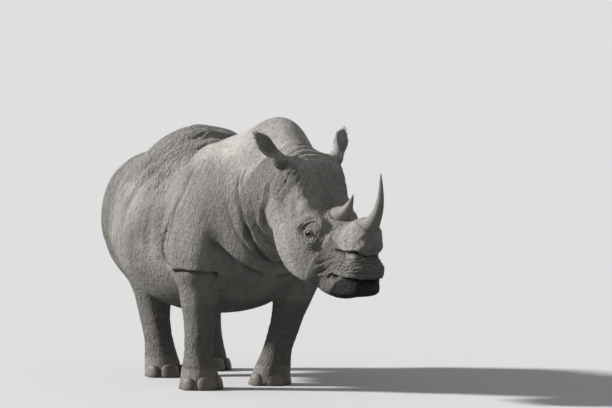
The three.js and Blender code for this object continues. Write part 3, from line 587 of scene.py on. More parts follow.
def relief_of(points):
    """How far the skin swells at each point, as a sum: grooves and rolls beside the folds, rows of
    ridges, soft bands, lumps and pits. Also how much painted shade it gets in creases, furrows
    and pits, how coarse its fine wrinkles are, and how much pale dusty colour lies on it, laid
    on thickly as painted light over the rump, neck and nape."""
    x, y, z = points
    head = one_side(to_head(points))
    forward, side, up = head
    relief, crease_shade = np.zeros(len(x), F), np.zeros(len(x), F)

    def wrinkle(height, mask, phase, wander, size, seed):
        """Adds ridges, one to a unit of phase, which wander by a share of a ridge over a size, and painted
        shade in the furrows between them.
        """
        ridge = ridges(phase + wander * noise(points, size, seed))
        relief[:] += height * mask * (ridge - 0.72)
        furrow = eased(1 - ridge / 0.5) * mask * np.clip(height / 0.006, 0, 1)
        crease_shade[:] = np.maximum(crease_shade, 0.8 * furrow)

    def between(value, low, high, edge):
        """One from low to high and zero beyond, with soft edges."""
        return eased((value - low) / edge + 0.5) * eased((high - value) / edge + 0.5)

    for path, width, depth, puff, toward in folds:
        near, distance, away, share = from_fold(points, path, width * 4)
        over = toward @ away > 0
        scaled = distance / width / (1 + 0.22 * noise(points[:, near], width * 9, 2))
        fade = eased(np.minimum(share, 1 - share) / 0.14)
        groove = np.exp(-(scaled / np.where(over, 0.75, 1.3)) ** 2) * fade
        roll = np.exp(-((scaled - 1.5) / 1.1) ** 2) * (1 - np.exp(-(scaled / 0.7) ** 2)) * fade
        relief[near] += puff * roll * over - depth * groove
        # painted shade: the groove is darkened in colour by how deep it is
        crease_shade[near] = np.maximum(crease_shade[near], groove * min(max(depth, 0) / 0.014, 1))

    # soft bands down the flanks and over the rump, leaning forward towards the spine
    lean = 0.45 * np.maximum(z - 1.1, 0)
    bands = np.sin(2 * np.pi * ((x - lean) / 0.165 + 0.22 * noise(points, 0.7, 3)))
    trunk = eased((0.42 - x) / 0.2) * eased((z - 0.70) / 0.25)
    relief += 0.0090 * bands * trunk * (0.65 + 0.35 * noise(points, 0.4, 4))
    # finer creases across the back
    rump = eased((0.25 - x) / 0.3) * eased((z - 1.12) / 0.25)
    spine = rump * (0.35 + 0.65 * eased((0.22 - np.abs(y)) / 0.12)) * eased(0.6 + noise(points, 0.22, 6))
    wrinkle(0.014, spine, (x - 1.3 * lean) / 0.060, wander=0.55, size=0.30, seed=5)
    # the crest of the spine
    crest = eased((x + 1.05) / 0.4) * eased((0.10 - x) / 0.25) * (z > 1.2)
    relief += 0.007 * crest * np.exp(-(y / 0.05) ** 2)
    # lumps of muscle and fat
    relief += 0.0045 * noise(points, 0.42, 7) * eased((z - 0.5) / 0.3) * eased((1.1 - x) / 0.3)

    # rings round the legs
    leg = eased((0.66 - z) / 0.15) * eased((z - 0.10) / 0.05)
    wrinkle(0.004, leg * np.exp(-((z - 0.33) / 0.2) ** 2), z / 0.045, wander=0.45, size=0.16, seed=8)

    # rings of loose skin round the neck, and finer ones behind the cheek
    place = unit(NECK_END - NECK_START) @ (points - NECK_START[:, None])
    neck = between(place, 0.10, 0.46, 0.12) * eased((1.55 - z) / 0.2)
    wrinkle(0.0035, neck, place / 0.075, wander=0.35, size=0.35, seed=14)
    jaw = np.hypot(forward - 0.30, up + 0.25)
    nape = between(jaw, 0.27, 0.52, 0.06) * (z > 0.8)
    nape *= eased((0.08 - forward) / 0.08) * eased((-0.04 - up) / 0.08)
    wrinkle(0.006, nape * eased(0.8 + noise(points, 0.2, 16)), jaw / 0.032, wander=0.8, size=0.11, seed=15)

    # ridges across the poll from ear to ear, fading down the forehead
    poll = eased((0.19 - side) / 0.05) * eased((up + 0.13) / 0.06) * between(forward, -0.20, 0.055, 0.05)
    wrinkle(0.0170, poll, (forward - 1.9 * side ** 2) / 0.066, wander=0.16, size=0.20, seed=17)
    brow = np.hypot(forward - 0.30, side)
    forehead = between(brow, 0.13, 0.27, 0.05) * between(forward, 0.03, 0.35, 0.06)
    forehead *= eased((up + 0.12) / 0.05)
    wrinkle(0.0065, forehead, brow / 0.036, wander=0.3, size=0.15, seed=18)
    temple = between(forward, 0.00, 0.19, 0.10) * between(up, -0.26, 0.0, 0.09)
    temple *= eased((side - 0.15) / 0.03)
    wrinkle(0.0050, temple, (forward * 0.93 - up * 0.37) / 0.024, wander=0.4, size=0.12, seed=19)

    # the broad edge between forehead and temple
    edge = np.hypot(side - 0.19, up + 0.045 + 0.25 * np.maximum(forward - 0.12, 0))
    relief += 0.014 * between(forward, 0.06, 0.36, 0.08) * np.exp(-(edge / 0.045) ** 2)

    # the eye's raised surround, with tight folds below and behind it
    eye = from_eye(points)
    radius = np.hypot(eye[0] * 0.82, eye[2])
    near_eye = eye[1] > -0.07
    relief += 0.007 * np.exp(-((radius - 0.056) / 0.024) ** 2) * near_eye
    ring = between(radius, 0.032, 0.098, 0.012) * near_eye
    lower = eased(0.75 - eye[2] / 0.04)
    wrinkle(0.0085, ring * (0.35 + 0.65 * lower), radius / 0.0148, wander=0.3, size=0.05, seed=9)

    # frayed rings of skin at the horns' feet
    foot = np.hypot((forward - 0.488) / 1.15, side)
    top = eased((up + 0.20) / 0.04)
    wrinkle(0.008, top * between(foot, 0.075, 0.155, 0.012), foot / 0.0205, wander=0.35, size=0.08, seed=10)
    relief += 0.014 * top * np.exp(-((foot - 0.080) / 0.022) ** 2)
    foot = np.hypot((forward - 0.725) / 1.05, side)
    relief += 0.009 * eased((up + 0.04) / 0.03) * np.exp(-((foot - 0.080) / 0.014) ** 2)

    # level wrinkles on the upper lip, and pebbled folds on the cheek behind it
    lip = eased((forward - 0.765) / 0.04) * eased((0.915 - z) / 0.015) * eased((z - 0.775) / 0.02)
    wrinkle(0.0085, lip, z / 0.0225, wander=0.16, size=0.12, seed=11)
    cheek = between(forward, 0.56, 0.80, 0.05) * eased((-0.15 - up) / 0.05)
    loose = cheek * eased(0.7 + noise(points, 0.09, 13))
    wrinkle(0.0075, loose, (forward * 0.62 - up * 0.78) / 0.027, wander=0.8, size=0.07, seed=12)
    # ripples on the nose
    nose = eased((forward - 0.60) / 0.08) * eased((up + 0.16) / 0.04)
    relief += 0.0022 * noise(points, 0.045, 20) * nose

    # nostril, a comma in the groove under the nose, darkened inside as painted shade
    slit = head - np.array([[0.818], [0.112], [-0.113]], F)
    length = slit[0] * 0.90 + slit[2] * 0.43
    height = slit[2] * 0.90 - slit[0] * 0.43
    open_high = np.where(height > 0, 0.017, 0.010)
    pit = np.exp(-((length / 0.034) ** 2 + (height / open_high) ** 2) ** 1.6) * (side > 0.05)
    rim = np.exp(-((length / 0.046) ** 2 + ((height - 0.006) / 0.030) ** 2) ** 1.5) * (side > 0.05)
    relief += 0.007 * rim - 0.034 * pit
    crease_shade = np.maximum(crease_shade, pit)
    # the pinched corner of the mouth, darkened as painted shade
    corner = np.sqrt(((head - np.array([[0.752], [0.108], [-0.352]], F)) ** 2).sum(0))
    relief -= 0.020 * np.exp(-(corner / 0.020) ** 2)
    crease_shade = np.maximum(crease_shade, 0.9 * np.exp(-(corner / 0.026) ** 4))

    # how coarse the fine wrinkles are, and how much painted shade their furrows get: least on the hump,
    # most where the skin is loose
    hump = eased((z - 1.35) / 0.2) * eased((x - 0.35) / 0.2)
    hindquarters = eased((-0.45 - x) / 0.3)
    rough = 0.56 + 0.14 * noise(points, 0.35, 21) - 0.4 * hump
    for zone, most in ((rump, 0.75), (hindquarters, 0.8), (neck, 0.65), (nape, 0.9), (temple, 0.85),
                       (ring, 0.7), (lip, 0.8), (cheek, 1.0), (leg, 0.85), (poll, 0.4)):
        rough = np.maximum(rough, most * zone)
    # pale dust over the rump, neck and nape, laid on thickly as painted light that brightens them
    dust_and_light = np.maximum(np.maximum(rump, neck), 0.6 * nape)
    return relief * eased(z / 0.08), crease_shade, rough, dust_and_light


EAR_WALL = 0.008


def hollowed_ears(points):
    """The front of each ear sinks towards its back, and leaves a cup with thin walls. Its mouth is
    narrow at the foot of the ear and as wide as the ear higher up."""
    moved = points.copy()
    for side in SIDES:
        way_out = HEAD_AXES.T @ EARS[side][2][2]
        share, across, out = to_ear(points, side)
        half, depth = along(EAR, share)
        mouth = (half - EAR_WALL * 0.5) * (0.35 + 0.65 * eased((share - 0.05) / 0.40))
        rim = np.clip(np.abs(across) / mouth, 0, 1)
        floor = -(depth - EAR_WALL) * np.sqrt(1 - rim ** 2)
        cup = eased((share - 0.10) / 0.22) * eased((0.985 - share) / 0.06) * eased((1 - rim) / 0.22)
        front = (out > 0) & (np.hypot(across, out) < 0.08) & (share > 0) & (share < 1.05)
        sunk = np.where(front, (floor - out) * cup, 0)
        moved += way_out[:, None] * sunk
    return moved


SLIT_HALF, SLIT_ABOVE, SLIT_BELOW = 0.0205, 0.0125, 0.0100  # the opening between the lids


def opened_eyes(points):
    """The lids part along an almond: the skin inside it sinks behind the eyeball's face, the upper
    lid stands out over it, and a small bag hangs under the lower one. Also gives how far inside
    the almond each point is, for the painted shade there."""
    slit, out, up = from_eye(points)
    inside = 1 - np.hypot(slit / SLIT_HALF, up / np.where(up > 0, SLIT_ABOVE, SLIT_BELOW))
    lid = np.exp(-((slit / 0.022) ** 2 + ((up - 0.0155) / 0.0060) ** 2)) * (out > 0)
    bag = np.exp(-((slit / 0.019) ** 2 + ((up + 0.0135) / 0.004) ** 2)) * (out > 0)
    sunk = 0.0060 * lid + 0.0022 * bag + np.where(out > 0, -0.013 * eased(inside / 0.16 + 0.35), 0)
    head = to_head(points)
    way = EYE_AXES[1][:, None] * np.stack([np.ones_like(out), np.sign(head[1]), np.ones_like(out)])
    return points + HEAD_AXES.T @ (way * sunk), eased(inside / 0.3 + 0.9) * (out > 0)


CELL = 0.0212  # the edge length of the plain hide
LOWEST, HIGHEST = (-1.34, -0.72, -0.05), (2.06, 0.74, 1.84)  # a box that holds the animal
HALVINGS = 4  # how often an edge may be halved on its way to the wanted length

points, triangles = net(flesh, LOWEST, HIGHEST, CELL)
points = settle(points)
for _ in range(HALVINGS):
    points, triangles = split(points, triangles, wanted_edge)
slope = slope_of(flesh, points, 0.0015)
normals = slope / (np.sqrt((slope * slope).sum(0)) + 1e-6)
relief, crease_shade, rough, dust_and_light = relief_of(points)
smooth_points = points
points = hollowed_ears(points + normals * relief)
points, lid_slit_shade = opened_eyes(points)
points[2] = np.maximum(points[2], 0)


def mesh_object(name, points, faces):
    """Puts points, as columns in the body's axes, and faces of equal sides into a smooth mesh
    whose object sits at the origin."""
    mesh = bpy.data.meshes.new(name)
    mesh.from_pydata(points.T + SHIFT, [], faces)
    mesh.polygons.foreach_set("use_smooth", np.ones(len(faces), bool))
    mesh.update()
    piece = bpy.data.objects.new(name, mesh)
    bpy.context.scene.collection.objects.link(piece)
    return piece


def give(piece, name, values):
    """Stores a number for each point, for the material to read."""
    attribute = piece.data.attributes.new(name, "FLOAT", "POINT")
    attribute.data.foreach_set("value", values.astype(F))


skin = mesh_object("skin", points, triangles)
x, y, z = smooth_points
head = to_head(smooth_points)
muzzle = eased((head[0] - 0.75) / 0.06) * (z > 0.5)
slit, out, up = from_eye(smooth_points)
# painted shade: creases, furrows, pits and the skin inside the lids are darkened; round the eye the skin is
# dark and wet, and darkened further as painted shade from the lids
eye_dark_skin_and_shade = 0.96 * np.exp(-(np.hypot(slit / 0.0225, (up + 0.004) / 0.0255)) ** 3) * (out > 0)
give(skin, "crease", np.maximum(crease_shade, np.maximum(lid_slit_shade, eye_dark_skin_and_shade)))
# painted shade: the lower lip and chin are darkened nearly to black, over their wet darkening
wet_lip_and_shade = eased((0.795 - z) / 0.025) * eased((head[0] - 0.690 - 0.9 * (z - 0.66)) / 0.04)
give(skin, "wet_lip_and_shade", wet_lip_and_shade * (z > 0.5))
give(skin, "legs", eased((0.80 - z) / 0.08) * (head[0] < 0.4))
give(skin, "back", eased((z - 1.05) / 0.3) * eased((0.45 - x) / 0.3))
give(skin, "rough", rough)
# pale dust, with painted light, on the rump, neck and nape
give(skin, "dust_and_light", dust_and_light)
give(skin, "lips", muzzle * eased((0.93 - z) / 0.03))
give(skin, "face", eased((head[0] + 0.02) / 0.12) * (x > 1.1) * (1 - muzzle))


def new_material(name):
    """A material that holds only a Principled shader and its output, with its tree and shader."""
    material = bpy.data.materials.new(name)
    material.use_nodes = True
    tree = material.node_tree
    tree.nodes.clear()
    shader = tree.nodes.new("ShaderNodeBsdfPrincipled")
    output = tree.nodes.new("ShaderNodeOutputMaterial")
    tree.links.new(shader.outputs[0], output.inputs[0])
    return material, tree, shader


def node(tree, kind, inputs=None, **settings):
    """Adds a node. inputs maps a socket's name or number to a value or to another's output."""
    made = tree.nodes.new(kind)
    for name, value in settings.items():
        setattr(made, name, value)
    for name, value in (inputs or {}).items():
        if isinstance(value, bpy.types.NodeSocket):
            tree.links.new(value, made.inputs[name])
        else:
            made.inputs[name].default_value = value
    return made


def math(tree, operation, *values, clamp=False):
    """One step of arithmetic on numbers or other nodes' outputs."""
    made = node(tree, "ShaderNodeMath", dict(enumerate(values)), operation=operation, use_clamp=clamp)
    return made.outputs[0]


def times(tree, first, *others):
    """The product of two numbers or more."""
    for value in others:
        first = math(tree, "MULTIPLY", first, value)
    return first


def ramp(tree, value, gain, start):
    """A value times a gain, plus a start, held between 0 and 1."""
    return math(tree, "MULTIPLY_ADD", value, gain, start, clamp=True)


def mixed(tree, share, first, second):
    """A colour between two: the first where share is 0, the second where it is 1."""
    return node(tree, "ShaderNodeMix", {0: share, 6: first, 7: second}, data_type="RGBA").outputs[2]


def layered(tree, colour, layers):
    """Lays colours over the first one after another, each where its mask times its share says."""
    for mask, share, laid in layers:
        colour = mixed(tree, times(tree, mask, share), colour, laid)
    return colour


def object_places(tree):
    """Object coordinates, which are the frame's metres, for every pattern to lie on."""
    return node(tree, "ShaderNodeTexCoord").outputs["Object"]


def mapped(tree, coords, stretch, turn=(0, 0, 0)):
    """Coordinates stretched along each axis and then turned."""
    values = {"Vector": coords, "Scale": stretch, "Rotation": turn}
    return node(tree, "ShaderNodeMapping", values).outputs[0]


def cloud(tree, coords, scale, detail, roughness=0.5):
    """Soft random patches, scale of them to a metre or so, 0.5 on average."""
    values = {"Vector": coords, "Scale": scale, "Detail": detail, "Roughness": roughness}
    return node(tree, "ShaderNodeTexNoise", values).outputs["Fac"]


def link_surface(tree, shader, colour, height, strength, distance):
    """Gives a shader its colour, and a height as bump, whose full height is distance in metres."""
    bump = node(tree, "ShaderNodeBump", {"Height": height, "Strength": strength, "Distance": distance})
    tree.links.new(colour, shader.inputs["Base Color"])
    tree.links.new(bump.outputs[0], shader.inputs["Normal"])


def new_group(name, inputs, outputs):
    """An empty node group with named inputs {name: default} and outputs [name], all numbers, or
    a vector where the default is None."""
    group = bpy.data.node_groups.new(name, "ShaderNodeTree")
    for label, default in inputs.items():
        kind = "NodeSocketVector" if default is None else "NodeSocketFloat"
        socket = group.interface.new_socket(label, in_out="INPUT", socket_type=kind)
        if default is not None:
            socket.default_value = default
    for label in outputs:
        group.interface.new_socket(label, in_out="OUTPUT", socket_type="NodeSocketFloat")
    return group, group.nodes.new("NodeGroupInput").outputs, group.nodes.new("NodeGroupOutput").inputs


def crackle_group():
    """Cracked hide: the distance to the edges of warped cells, as raised plates with furrows."""
    inputs = {"Vector": None, "Scale": 60.0, "Furrow": 0.2}
    group, given, result = new_group("cracked hide", inputs, ["Height"])
    warp = node(group, "ShaderNodeTexNoise", {"Vector": given["Vector"], "Scale": 9.0, "Detail": 2.0})
    shifted = node(group, "ShaderNodeVectorMath", {0: warp.outputs["Color"], 1: (0.5, 0.5, 0.5)},
                   operation="SUBTRACT")
    small = node(group, "ShaderNodeVectorMath", {0: shifted.outputs[0], "Scale": 0.05}, operation="SCALE")
    place = node(group, "ShaderNodeVectorMath", {0: given["Vector"], 1: small.outputs[0]}, operation="ADD")
    cells = node(group, "ShaderNodeTexVoronoi", {"Vector": place.outputs[0], "Scale": given["Scale"]},
                 feature="DISTANCE_TO_EDGE")
    ratio = math(group, "DIVIDE", cells.outputs["Distance"], given["Furrow"], clamp=True)
    group.links.new(math(group, "SMOOTH_MIN", ratio, 1.0, 0.3), result["Height"])
    return group


CRACKLE = crackle_group()


def crackle(tree, coords, stretch, turn, scale, furrow):
    """Cracked hide with cells stretched along turned axes: a larger stretch makes them shorter."""
    values = {"Vector": mapped(tree, coords, stretch, turn), "Scale": scale, "Furrow": furrow}
    return node(tree, "ShaderNodeGroup", values, node_tree=CRACKLE).outputs[0]


# The crease colour and the lip colour below are painted shade; the dust colour is pale dust laid on thickly
# as painted light.
HIDE_LIGHT = (0.570, 0.542, 0.500, 1)
HIDE_DUST_AND_LIGHT = (0.800, 0.765, 0.710, 1)
HIDE_MID = (0.470, 0.445, 0.407, 1)
HIDE_DARK = (0.175, 0.163, 0.147, 1)
HIDE_CREASE_SHADE = (0.060, 0.054, 0.048, 1)
LIP_SHADE = (0.009, 0.008, 0.007, 1)
MUD = (0.225, 0.195, 0.160, 1)
HIDE_RELIEF = 0.022  # metres for a height of one


def hide_material():
    """Grey hide: broad dusty patches, laid on as painted light over the rump and neck, painted shade
    in creases and furrows, and wrinkles that run level on the lips, crosswise on the legs and
    upright on the flanks, over fine plates and pebbles."""
    material, tree, shader = new_material("hide")
    coords = object_places(tree)

    def attribute(name):
        """A number that give() stored on the skin's points."""
        return node(tree, "ShaderNodeAttribute", attribute_name=name).outputs["Fac"]

    def share_of(height, share):
        """A height faded towards its full value, 1, where share is small."""
        return math(tree, "MULTIPLY_ADD", math(tree, "SUBTRACT", height, 1.0), share, 1.0)

    legs, lips, face, back = map(attribute, ("legs", "lips", "face", "back"))
    crease, wet_lip_and_shade, rough, dust_and_light = map(attribute, ("crease", "wet_lip_and_shade", "rough", "dust_and_light"))
    # each kind of crack: how it is stretched and turned, cells to a metre, and width of a furrow
    upright = crackle(tree, coords, (1.0, 1.0, 0.30), (0.10, 0.42, 0), 30, 0.42)
    finer = crackle(tree, coords, (1.0, 1.0, 0.40), (0.2, 0.30, 0.5), 66, 0.36)
    slanted = crackle(tree, coords, (1.0, 1.0, 0.30), (0.72, 0.72, 0), 46, 0.36)
    crossed = crackle(tree, coords, (1.0, 1.0, 0.30), (-0.72, -0.72, 0), 46, 0.36)
    level = crackle(tree, coords, (0.30, 0.30, 1.0), (0, 0, 0), 80, 0.24)
    plates = crackle(tree, coords, (1, 1, 1), (0.5, 0.2, 0.9), 110, 0.36)
    pebbles = crackle(tree, coords, (1, 1, 1), (0.1, 0.7, 0.3), 310, 0.35)
    patches = cloud(tree, coords, 2.3, 5.0, 0.6)
    lumps = cloud(tree, coords, 17.0, 3.0)
    grit = cloud(tree, coords, 42.0, 5.0, 0.70)
    streaks = cloud(tree, mapped(tree, coords, (1.0, 1.0, 0.22)), 26.0, 4.0)

    # hoops over the back, broken by cracks across them
    leaning = mapped(tree, coords, (1, 1, 1), (0, 0.42, 0))
    wave = node(tree, "ShaderNodeTexWave", {
        "Vector": leaning, "Scale": 7.5, "Distortion": 13.0, "Detail": 4.0, "Detail Scale": 1.1,
        "Detail Roughness": 0.6}, bands_direction="X")
    across = crackle(tree, leaning, (1.0, 0.32, 0.32), (0, 0, 0), 30, 0.34)
    hooped = share_of(times(tree, ramp(tree, wave.outputs["Fac"], 2.6, 0.0), across), back)
    # each way of wrinkling where it belongs
    elsewhere = math(tree, "MAXIMUM", math(tree, "MAXIMUM", legs, lips), times(tree, face, 0.45))
    trunk = math(tree, "SUBTRACT", 1.0, elsewhere)
    ways = times(tree, share_of(times(tree, upright, finer), trunk),
                 share_of(times(tree, slanted, crossed), legs), share_of(level, lips))
    height = 0.0
    for part, weight in ((ways, 0.80), (hooped, 0.80), (plates, 0.20), (pebbles, 0.05), (lumps, 0.9),
                         (grit, 1.2)):
        height = math(tree, "MULTIPLY_ADD", part, weight, height)

    # painted shade: the furrows between the cracked hide's plates and hoops are darkened, more where the
    # wrinkles are coarse
    furrow = math(tree, "SUBTRACT", 1.0, times(tree, ways, hooped, plates))
    low = ramp(tree, node(tree, "ShaderNodeSeparateXYZ", {0: coords}).outputs["Z"], -2.6, 1.1)
    splashed = times(tree, low, ramp(tree, lumps, 1.8, -0.3))
    colour = mixed(tree, ramp(tree, patches, 2.6, -0.8), HIDE_MID, HIDE_LIGHT)
    # over random patches, lumps, streaks and specks: pale dust with painted light, painted shade in furrows
    # and creases, mud low down, and painted shade on the lower lip
    colour = layered(tree, colour, [
        (ramp(tree, lumps, 3.0, -1.65), 0.35, HIDE_DARK), (ramp(tree, streaks, 3.2, -1.5), 0.45, HIDE_DARK),
        (dust_and_light, 0.85, HIDE_DUST_AND_LIGHT), (ramp(tree, grit, 4.0, -1.9), 0.80, HIDE_DARK),
        (times(tree, furrow, rough), 0.85, HIDE_DARK), (crease, 0.80, HIDE_CREASE_SHADE),
        (splashed, 0.65, MUD), (wet_lip_and_shade, 1.0, LIP_SHADE)])
    link_surface(tree, shader, colour, times(tree, height, rough), 1.0, HIDE_RELIEF)
    # dull, and a little less so on the wet lips
    dullness = math(tree, "MULTIPLY_ADD", plates, 0.10, math(tree, "MULTIPLY_ADD", wet_lip_and_shade, -0.06, 0.74))
    tree.links.new(dullness, shader.inputs["Roughness"])
    shader.inputs["Specular IOR Level"].default_value = 0.35
    return material


skin.data.materials.append(hide_material())
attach(skin, "root")
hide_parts("trunk", "neck", "head", "lower_jaw", "ear_right", "ear_left", "tail",
            "foreleg_right", "foreleg_left", "hindleg_right", "hindleg_left")

# ==== Eyes ====================================================================================
# Small dark brown eyes, wet and glossy, deep between heavy lids. Each is a ball whose front
# swells a little into the cornea, with the iris and the pupil as colour.


def grid_faces(rows, columns):
    """Quads of a grid of points numbered row by row, closed round each row."""
    row, column = np.meshgrid(np.arange(rows - 1), np.arange(columns), indexing="ij")
    after = (column + 1) % columns
    quads = np.stack([row * columns + column, row * columns + after,
                      (row + 1) * columns + after, (row + 1) * columns + column], -1)
    return quads.reshape(-1, 4)


def capped(points, rows, columns):
    """A closed grid's points and faces, with a fan at both ends to the middle of the end row."""
    first, last = points[:, :columns].mean(1), points[:, -columns:].mean(1)
    points = np.concatenate([points, first[:, None], last[:, None]], 1)
    ring = np.arange(columns)
    after = (ring + 1) % columns
    near = np.stack([after, ring, np.full(columns, rows * columns)], 1)
    start = (rows - 1) * columns
    far = np.stack([start + ring, start + after, np.full(columns, rows * columns + 1)], 1)
    return points, grid_faces(rows, columns).tolist() + near.tolist() + far.tolist()


EYE_ROWS, EYE_COLUMNS = 40, 48
CORNEA = 0.0012  # how far it swells past the ball
IRIS_DARK, IRIS_BROWN = (0.020, 0.010, 0.005, 1), (0.060, 0.032, 0.016, 1)
EYE_WHITE, PUPIL = (0.10, 0.065, 0.045, 1), (0.002, 0.002, 0.002, 1)


def eye_points(sign):
    """A ball in polar rows from the back to the front; its radius grows smoothly into the cornea
    between 34 degrees and 8 degrees off its axis."""
    polar, turn = np.meshgrid(np.linspace(np.pi - 0.06, 0.03, EYE_ROWS),
                              np.linspace(0, 2 * np.pi, EYE_COLUMNS, False), indexing="ij")
    radius = EYE_RADIUS + CORNEA * eased((np.radians(34) - polar) / np.radians(26))
    local = np.stack([radius * np.sin(polar) * np.cos(turn), radius * np.cos(polar),
                      radius * np.sin(polar) * np.sin(turn)]).reshape(3, -1)
    head = EYE_AXES.T @ local + EYE_AT[:, None]
    return from_head(head * np.array([[1], [sign], [1]]))


def eye_material(centre, axis):
    """Colour by the cosine of the angle from the eye's axis: black pupil, dark brown iris, then
    the brown white of the eye."""
    material, tree, shader = new_material("eye")
    coords = object_places(tree)
    away = node(tree, "ShaderNodeVectorMath", {0: coords, 1: centre}, operation="SUBTRACT")
    facing = node(tree, "ShaderNodeVectorMath", {0: away.outputs[0], 1: axis}, operation="DOT_PRODUCT")
    cosine = math(tree, "DIVIDE", facing.outputs["Value"], EYE_RADIUS)
    iris = mixed(tree, cloud(tree, coords, 900.0, 2.0), IRIS_DARK, IRIS_BROWN)
    colour = mixed(tree, ramp(tree, cosine, 22.0, -17.6), EYE_WHITE, iris)
    colour = mixed(tree, ramp(tree, cosine, 60.0, -56.5), colour, PUPIL)
    tree.links.new(colour, shader.inputs["Base Color"])
    shader.inputs["Roughness"].default_value = 0.20
    shader.inputs["Coat Weight"].default_value = 0.15
    return material


for name, sign in SIDES.items():
    ball, faces = capped(eye_points(sign), EYE_ROWS, EYE_COLUMNS)
    eye = mesh_object("eye_" + name + "_ball", ball, faces)
    centre = from_head(EYE_AT * [1, sign, 1]) + SHIFT
    axis = HEAD_AXES.T @ (EYE_AXES[1] * np.array([1, sign, 1]))
    eye.data.materials.append(eye_material(centre, axis))
    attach(eye, "root")
    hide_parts("eye_" + name)

# ==== Horns ===================================================================================
# Two horns of packed keratin fibre on the nose, one behind the other: frayed and ringed at the
# foot, rubbed smooth towards the tip. Each is a round section swept along the head's middle.

# Forward, up and radius, in the head's axes. The first rows are under the skin.
HORN_FRONT = [(0.706, -0.040, 0.080), (0.722, 0.002, 0.078), (0.736, 0.040, 0.062), (0.744, 0.085, 0.047),
              (0.744, 0.135, 0.037), (0.729, 0.200, 0.028), (0.694, 0.268, 0.018), (0.655, 0.322, 0.010),
              (0.622, 0.362, 0.0025)]
HORN_REAR = [(0.462, -0.165, 0.082), (0.472, -0.118, 0.080), (0.483, -0.086, 0.066), (0.494, -0.048, 0.044),
             (0.499, -0.006, 0.029), (0.498, 0.040, 0.016), (0.490, 0.086, 0.0025)]
HORN_COLUMNS = 96
RING_SPACING = 0.019
HORN_TIP, HORN_FOOT = (0.215, 0.195, 0.168, 1), (0.330, 0.308, 0.276, 1)
HORN_RING_SHADE, HORN_STREAK = (0.085, 0.075, 0.064, 1), (0.135, 0.120, 0.102, 1)
HORN_WORN = (0.36, 0.335, 0.30, 1)


def horn_points(rows, count, seed):
    """Ovals square to a smooth curve through the rows. Fibres run up the horn as small ridges,
    the sum of four sines of the turn, and rings cross it at the foot, a sine of the place along
    it; both fade towards the tip."""
    rows = np.array(rows)
    run = np.concatenate([[0], np.cumsum(np.hypot(*np.diff(rows[:, :2], axis=0).T))])
    place = np.linspace(0, 1, count) ** 0.9 * run[-1]
    forward, up, radius = along(np.column_stack([run, rows]), place)
    ahead, rise = np.gradient(forward, place), np.gradient(up, place)
    length = np.hypot(ahead, rise)
    turn = np.linspace(0, 2 * np.pi, HORN_COLUMNS, False)[None]
    rng = np.random.default_rng(seed)
    fibres = sum(np.sin(turn * n + rng.uniform(0, 6.28)) for n in (9, 17, 26, 41)) * 0.25
    fade = (1 - place / run[-1])[:, None]
    rings = np.sin(place[:, None] * 2 * np.pi / RING_SPACING + 1.5 * np.sin(turn + seed))
    rings *= eased((fade - 0.50) / 0.4)
    swell = radius[:, None] * (1 + 0.022 * fibres * fade + 0.030 * rings)
    across, deep = 0.94 * swell * np.sin(turn), swell * np.cos(turn)
    points = np.stack([forward[:, None] + deep * (rise / length)[:, None], across,
                       up[:, None] - deep * (ahead / length)[:, None]])
    return from_head(points.reshape(3, -1))


def horn_material(tip, reach):
    """Dark grey-brown keratin: fine streaks along the horn, paler low down, where dark rings are painted
    shade.
    """
    material, tree, shader = new_material("horn")
    coords = object_places(tree)
    fibre = cloud(tree, mapped(tree, coords, (9, 9, 0.9), (0, 0.62, 0.28)), 34.0, 5.0)
    blotch = cloud(tree, coords, 14.0, 4.0)
    away = node(tree, "ShaderNodeVectorMath", {0: coords, 1: tip}, operation="DISTANCE").outputs["Value"]
    foot = math(tree, "DIVIDE", away, reach, clamp=True)
    # painted shade: dark rings round the foot, like shade in the grooves between the horn's rings
    warped = math(tree, "MULTIPLY_ADD", blotch, 2.5, times(tree, away, 300.0))
    rings = math(tree, "MULTIPLY", math(tree, "POWER", foot, 3.0), math(tree, "SINE", warped), clamp=True)
    colour = mixed(tree, math(tree, "POWER", foot, 1.3), HORN_TIP, HORN_FOOT)
    colour = layered(tree, colour, [
        (rings, 0.75, HORN_RING_SHADE), (ramp(tree, fibre, 2.4, -0.8), 0.5, HORN_STREAK),
        (ramp(tree, blotch, 1.2, -0.5), 1.0, HORN_WORN)])
    link_surface(tree, shader, colour, fibre, 0.5, 0.003)
    tree.links.new(math(tree, "MULTIPLY_ADD", foot, 0.3, 0.42), shader.inputs["Roughness"])
    return material


# Rows of points, the distance from tip to foot, and the seed of its fibres.
HORNS = {"front": (HORN_FRONT, 90, 0.40, 5), "rear": (HORN_REAR, 70, 0.22, 4)}
for name, (rows, count, reach, seed) in HORNS.items():
    body, faces = capped(horn_points(rows, count, seed), count, HORN_COLUMNS)
    horn = mesh_object("horn_" + name + "_keratin", body, faces)
    tip = from_head((rows[-1][0], 0, rows[-1][1])) + SHIFT
    horn.data.materials.append(horn_material(tip, reach))
    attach(horn, "root")
    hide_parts("horn_" + name)

# ==== Hair ====================================================================================
# All but hairless: stiff dark bristle at the end of the tail, a fringe along the rims of the ears
# and lashes round the eyes. Each hair is a tapered blade whose root lies in the skin.

BRISTLES = 190
EAR_HAIRS = 110
# For each lid: lashes, way up, height of their roots over the slit, and share of the full length.
LASHES = {"upper": (20, 1, 0.0130, 1.0), "lower": (12, -1, 0.0105, 0.7)}
BRISTLE_BLACK, BRISTLE_BROWN = (0.012, 0.010, 0.008, 1), (0.070, 0.056, 0.043, 1)


def bristle_material():
    """Near-black hair, a little browner in places, with a dull shine."""
    material, tree, shader = new_material("bristle")
    tone = cloud(tree, object_places(tree), 120.0, 2.0)
    tree.links.new(mixed(tree, tone, BRISTLE_BLACK, BRISTLE_BROWN), shader.inputs["Base Color"])
    shader.inputs["Roughness"].default_value = 0.5
    return material


bristle = bristle_material()
HALF_PATCH = 0.0015  # of a blade in the map OFBake, whose whole side is 1


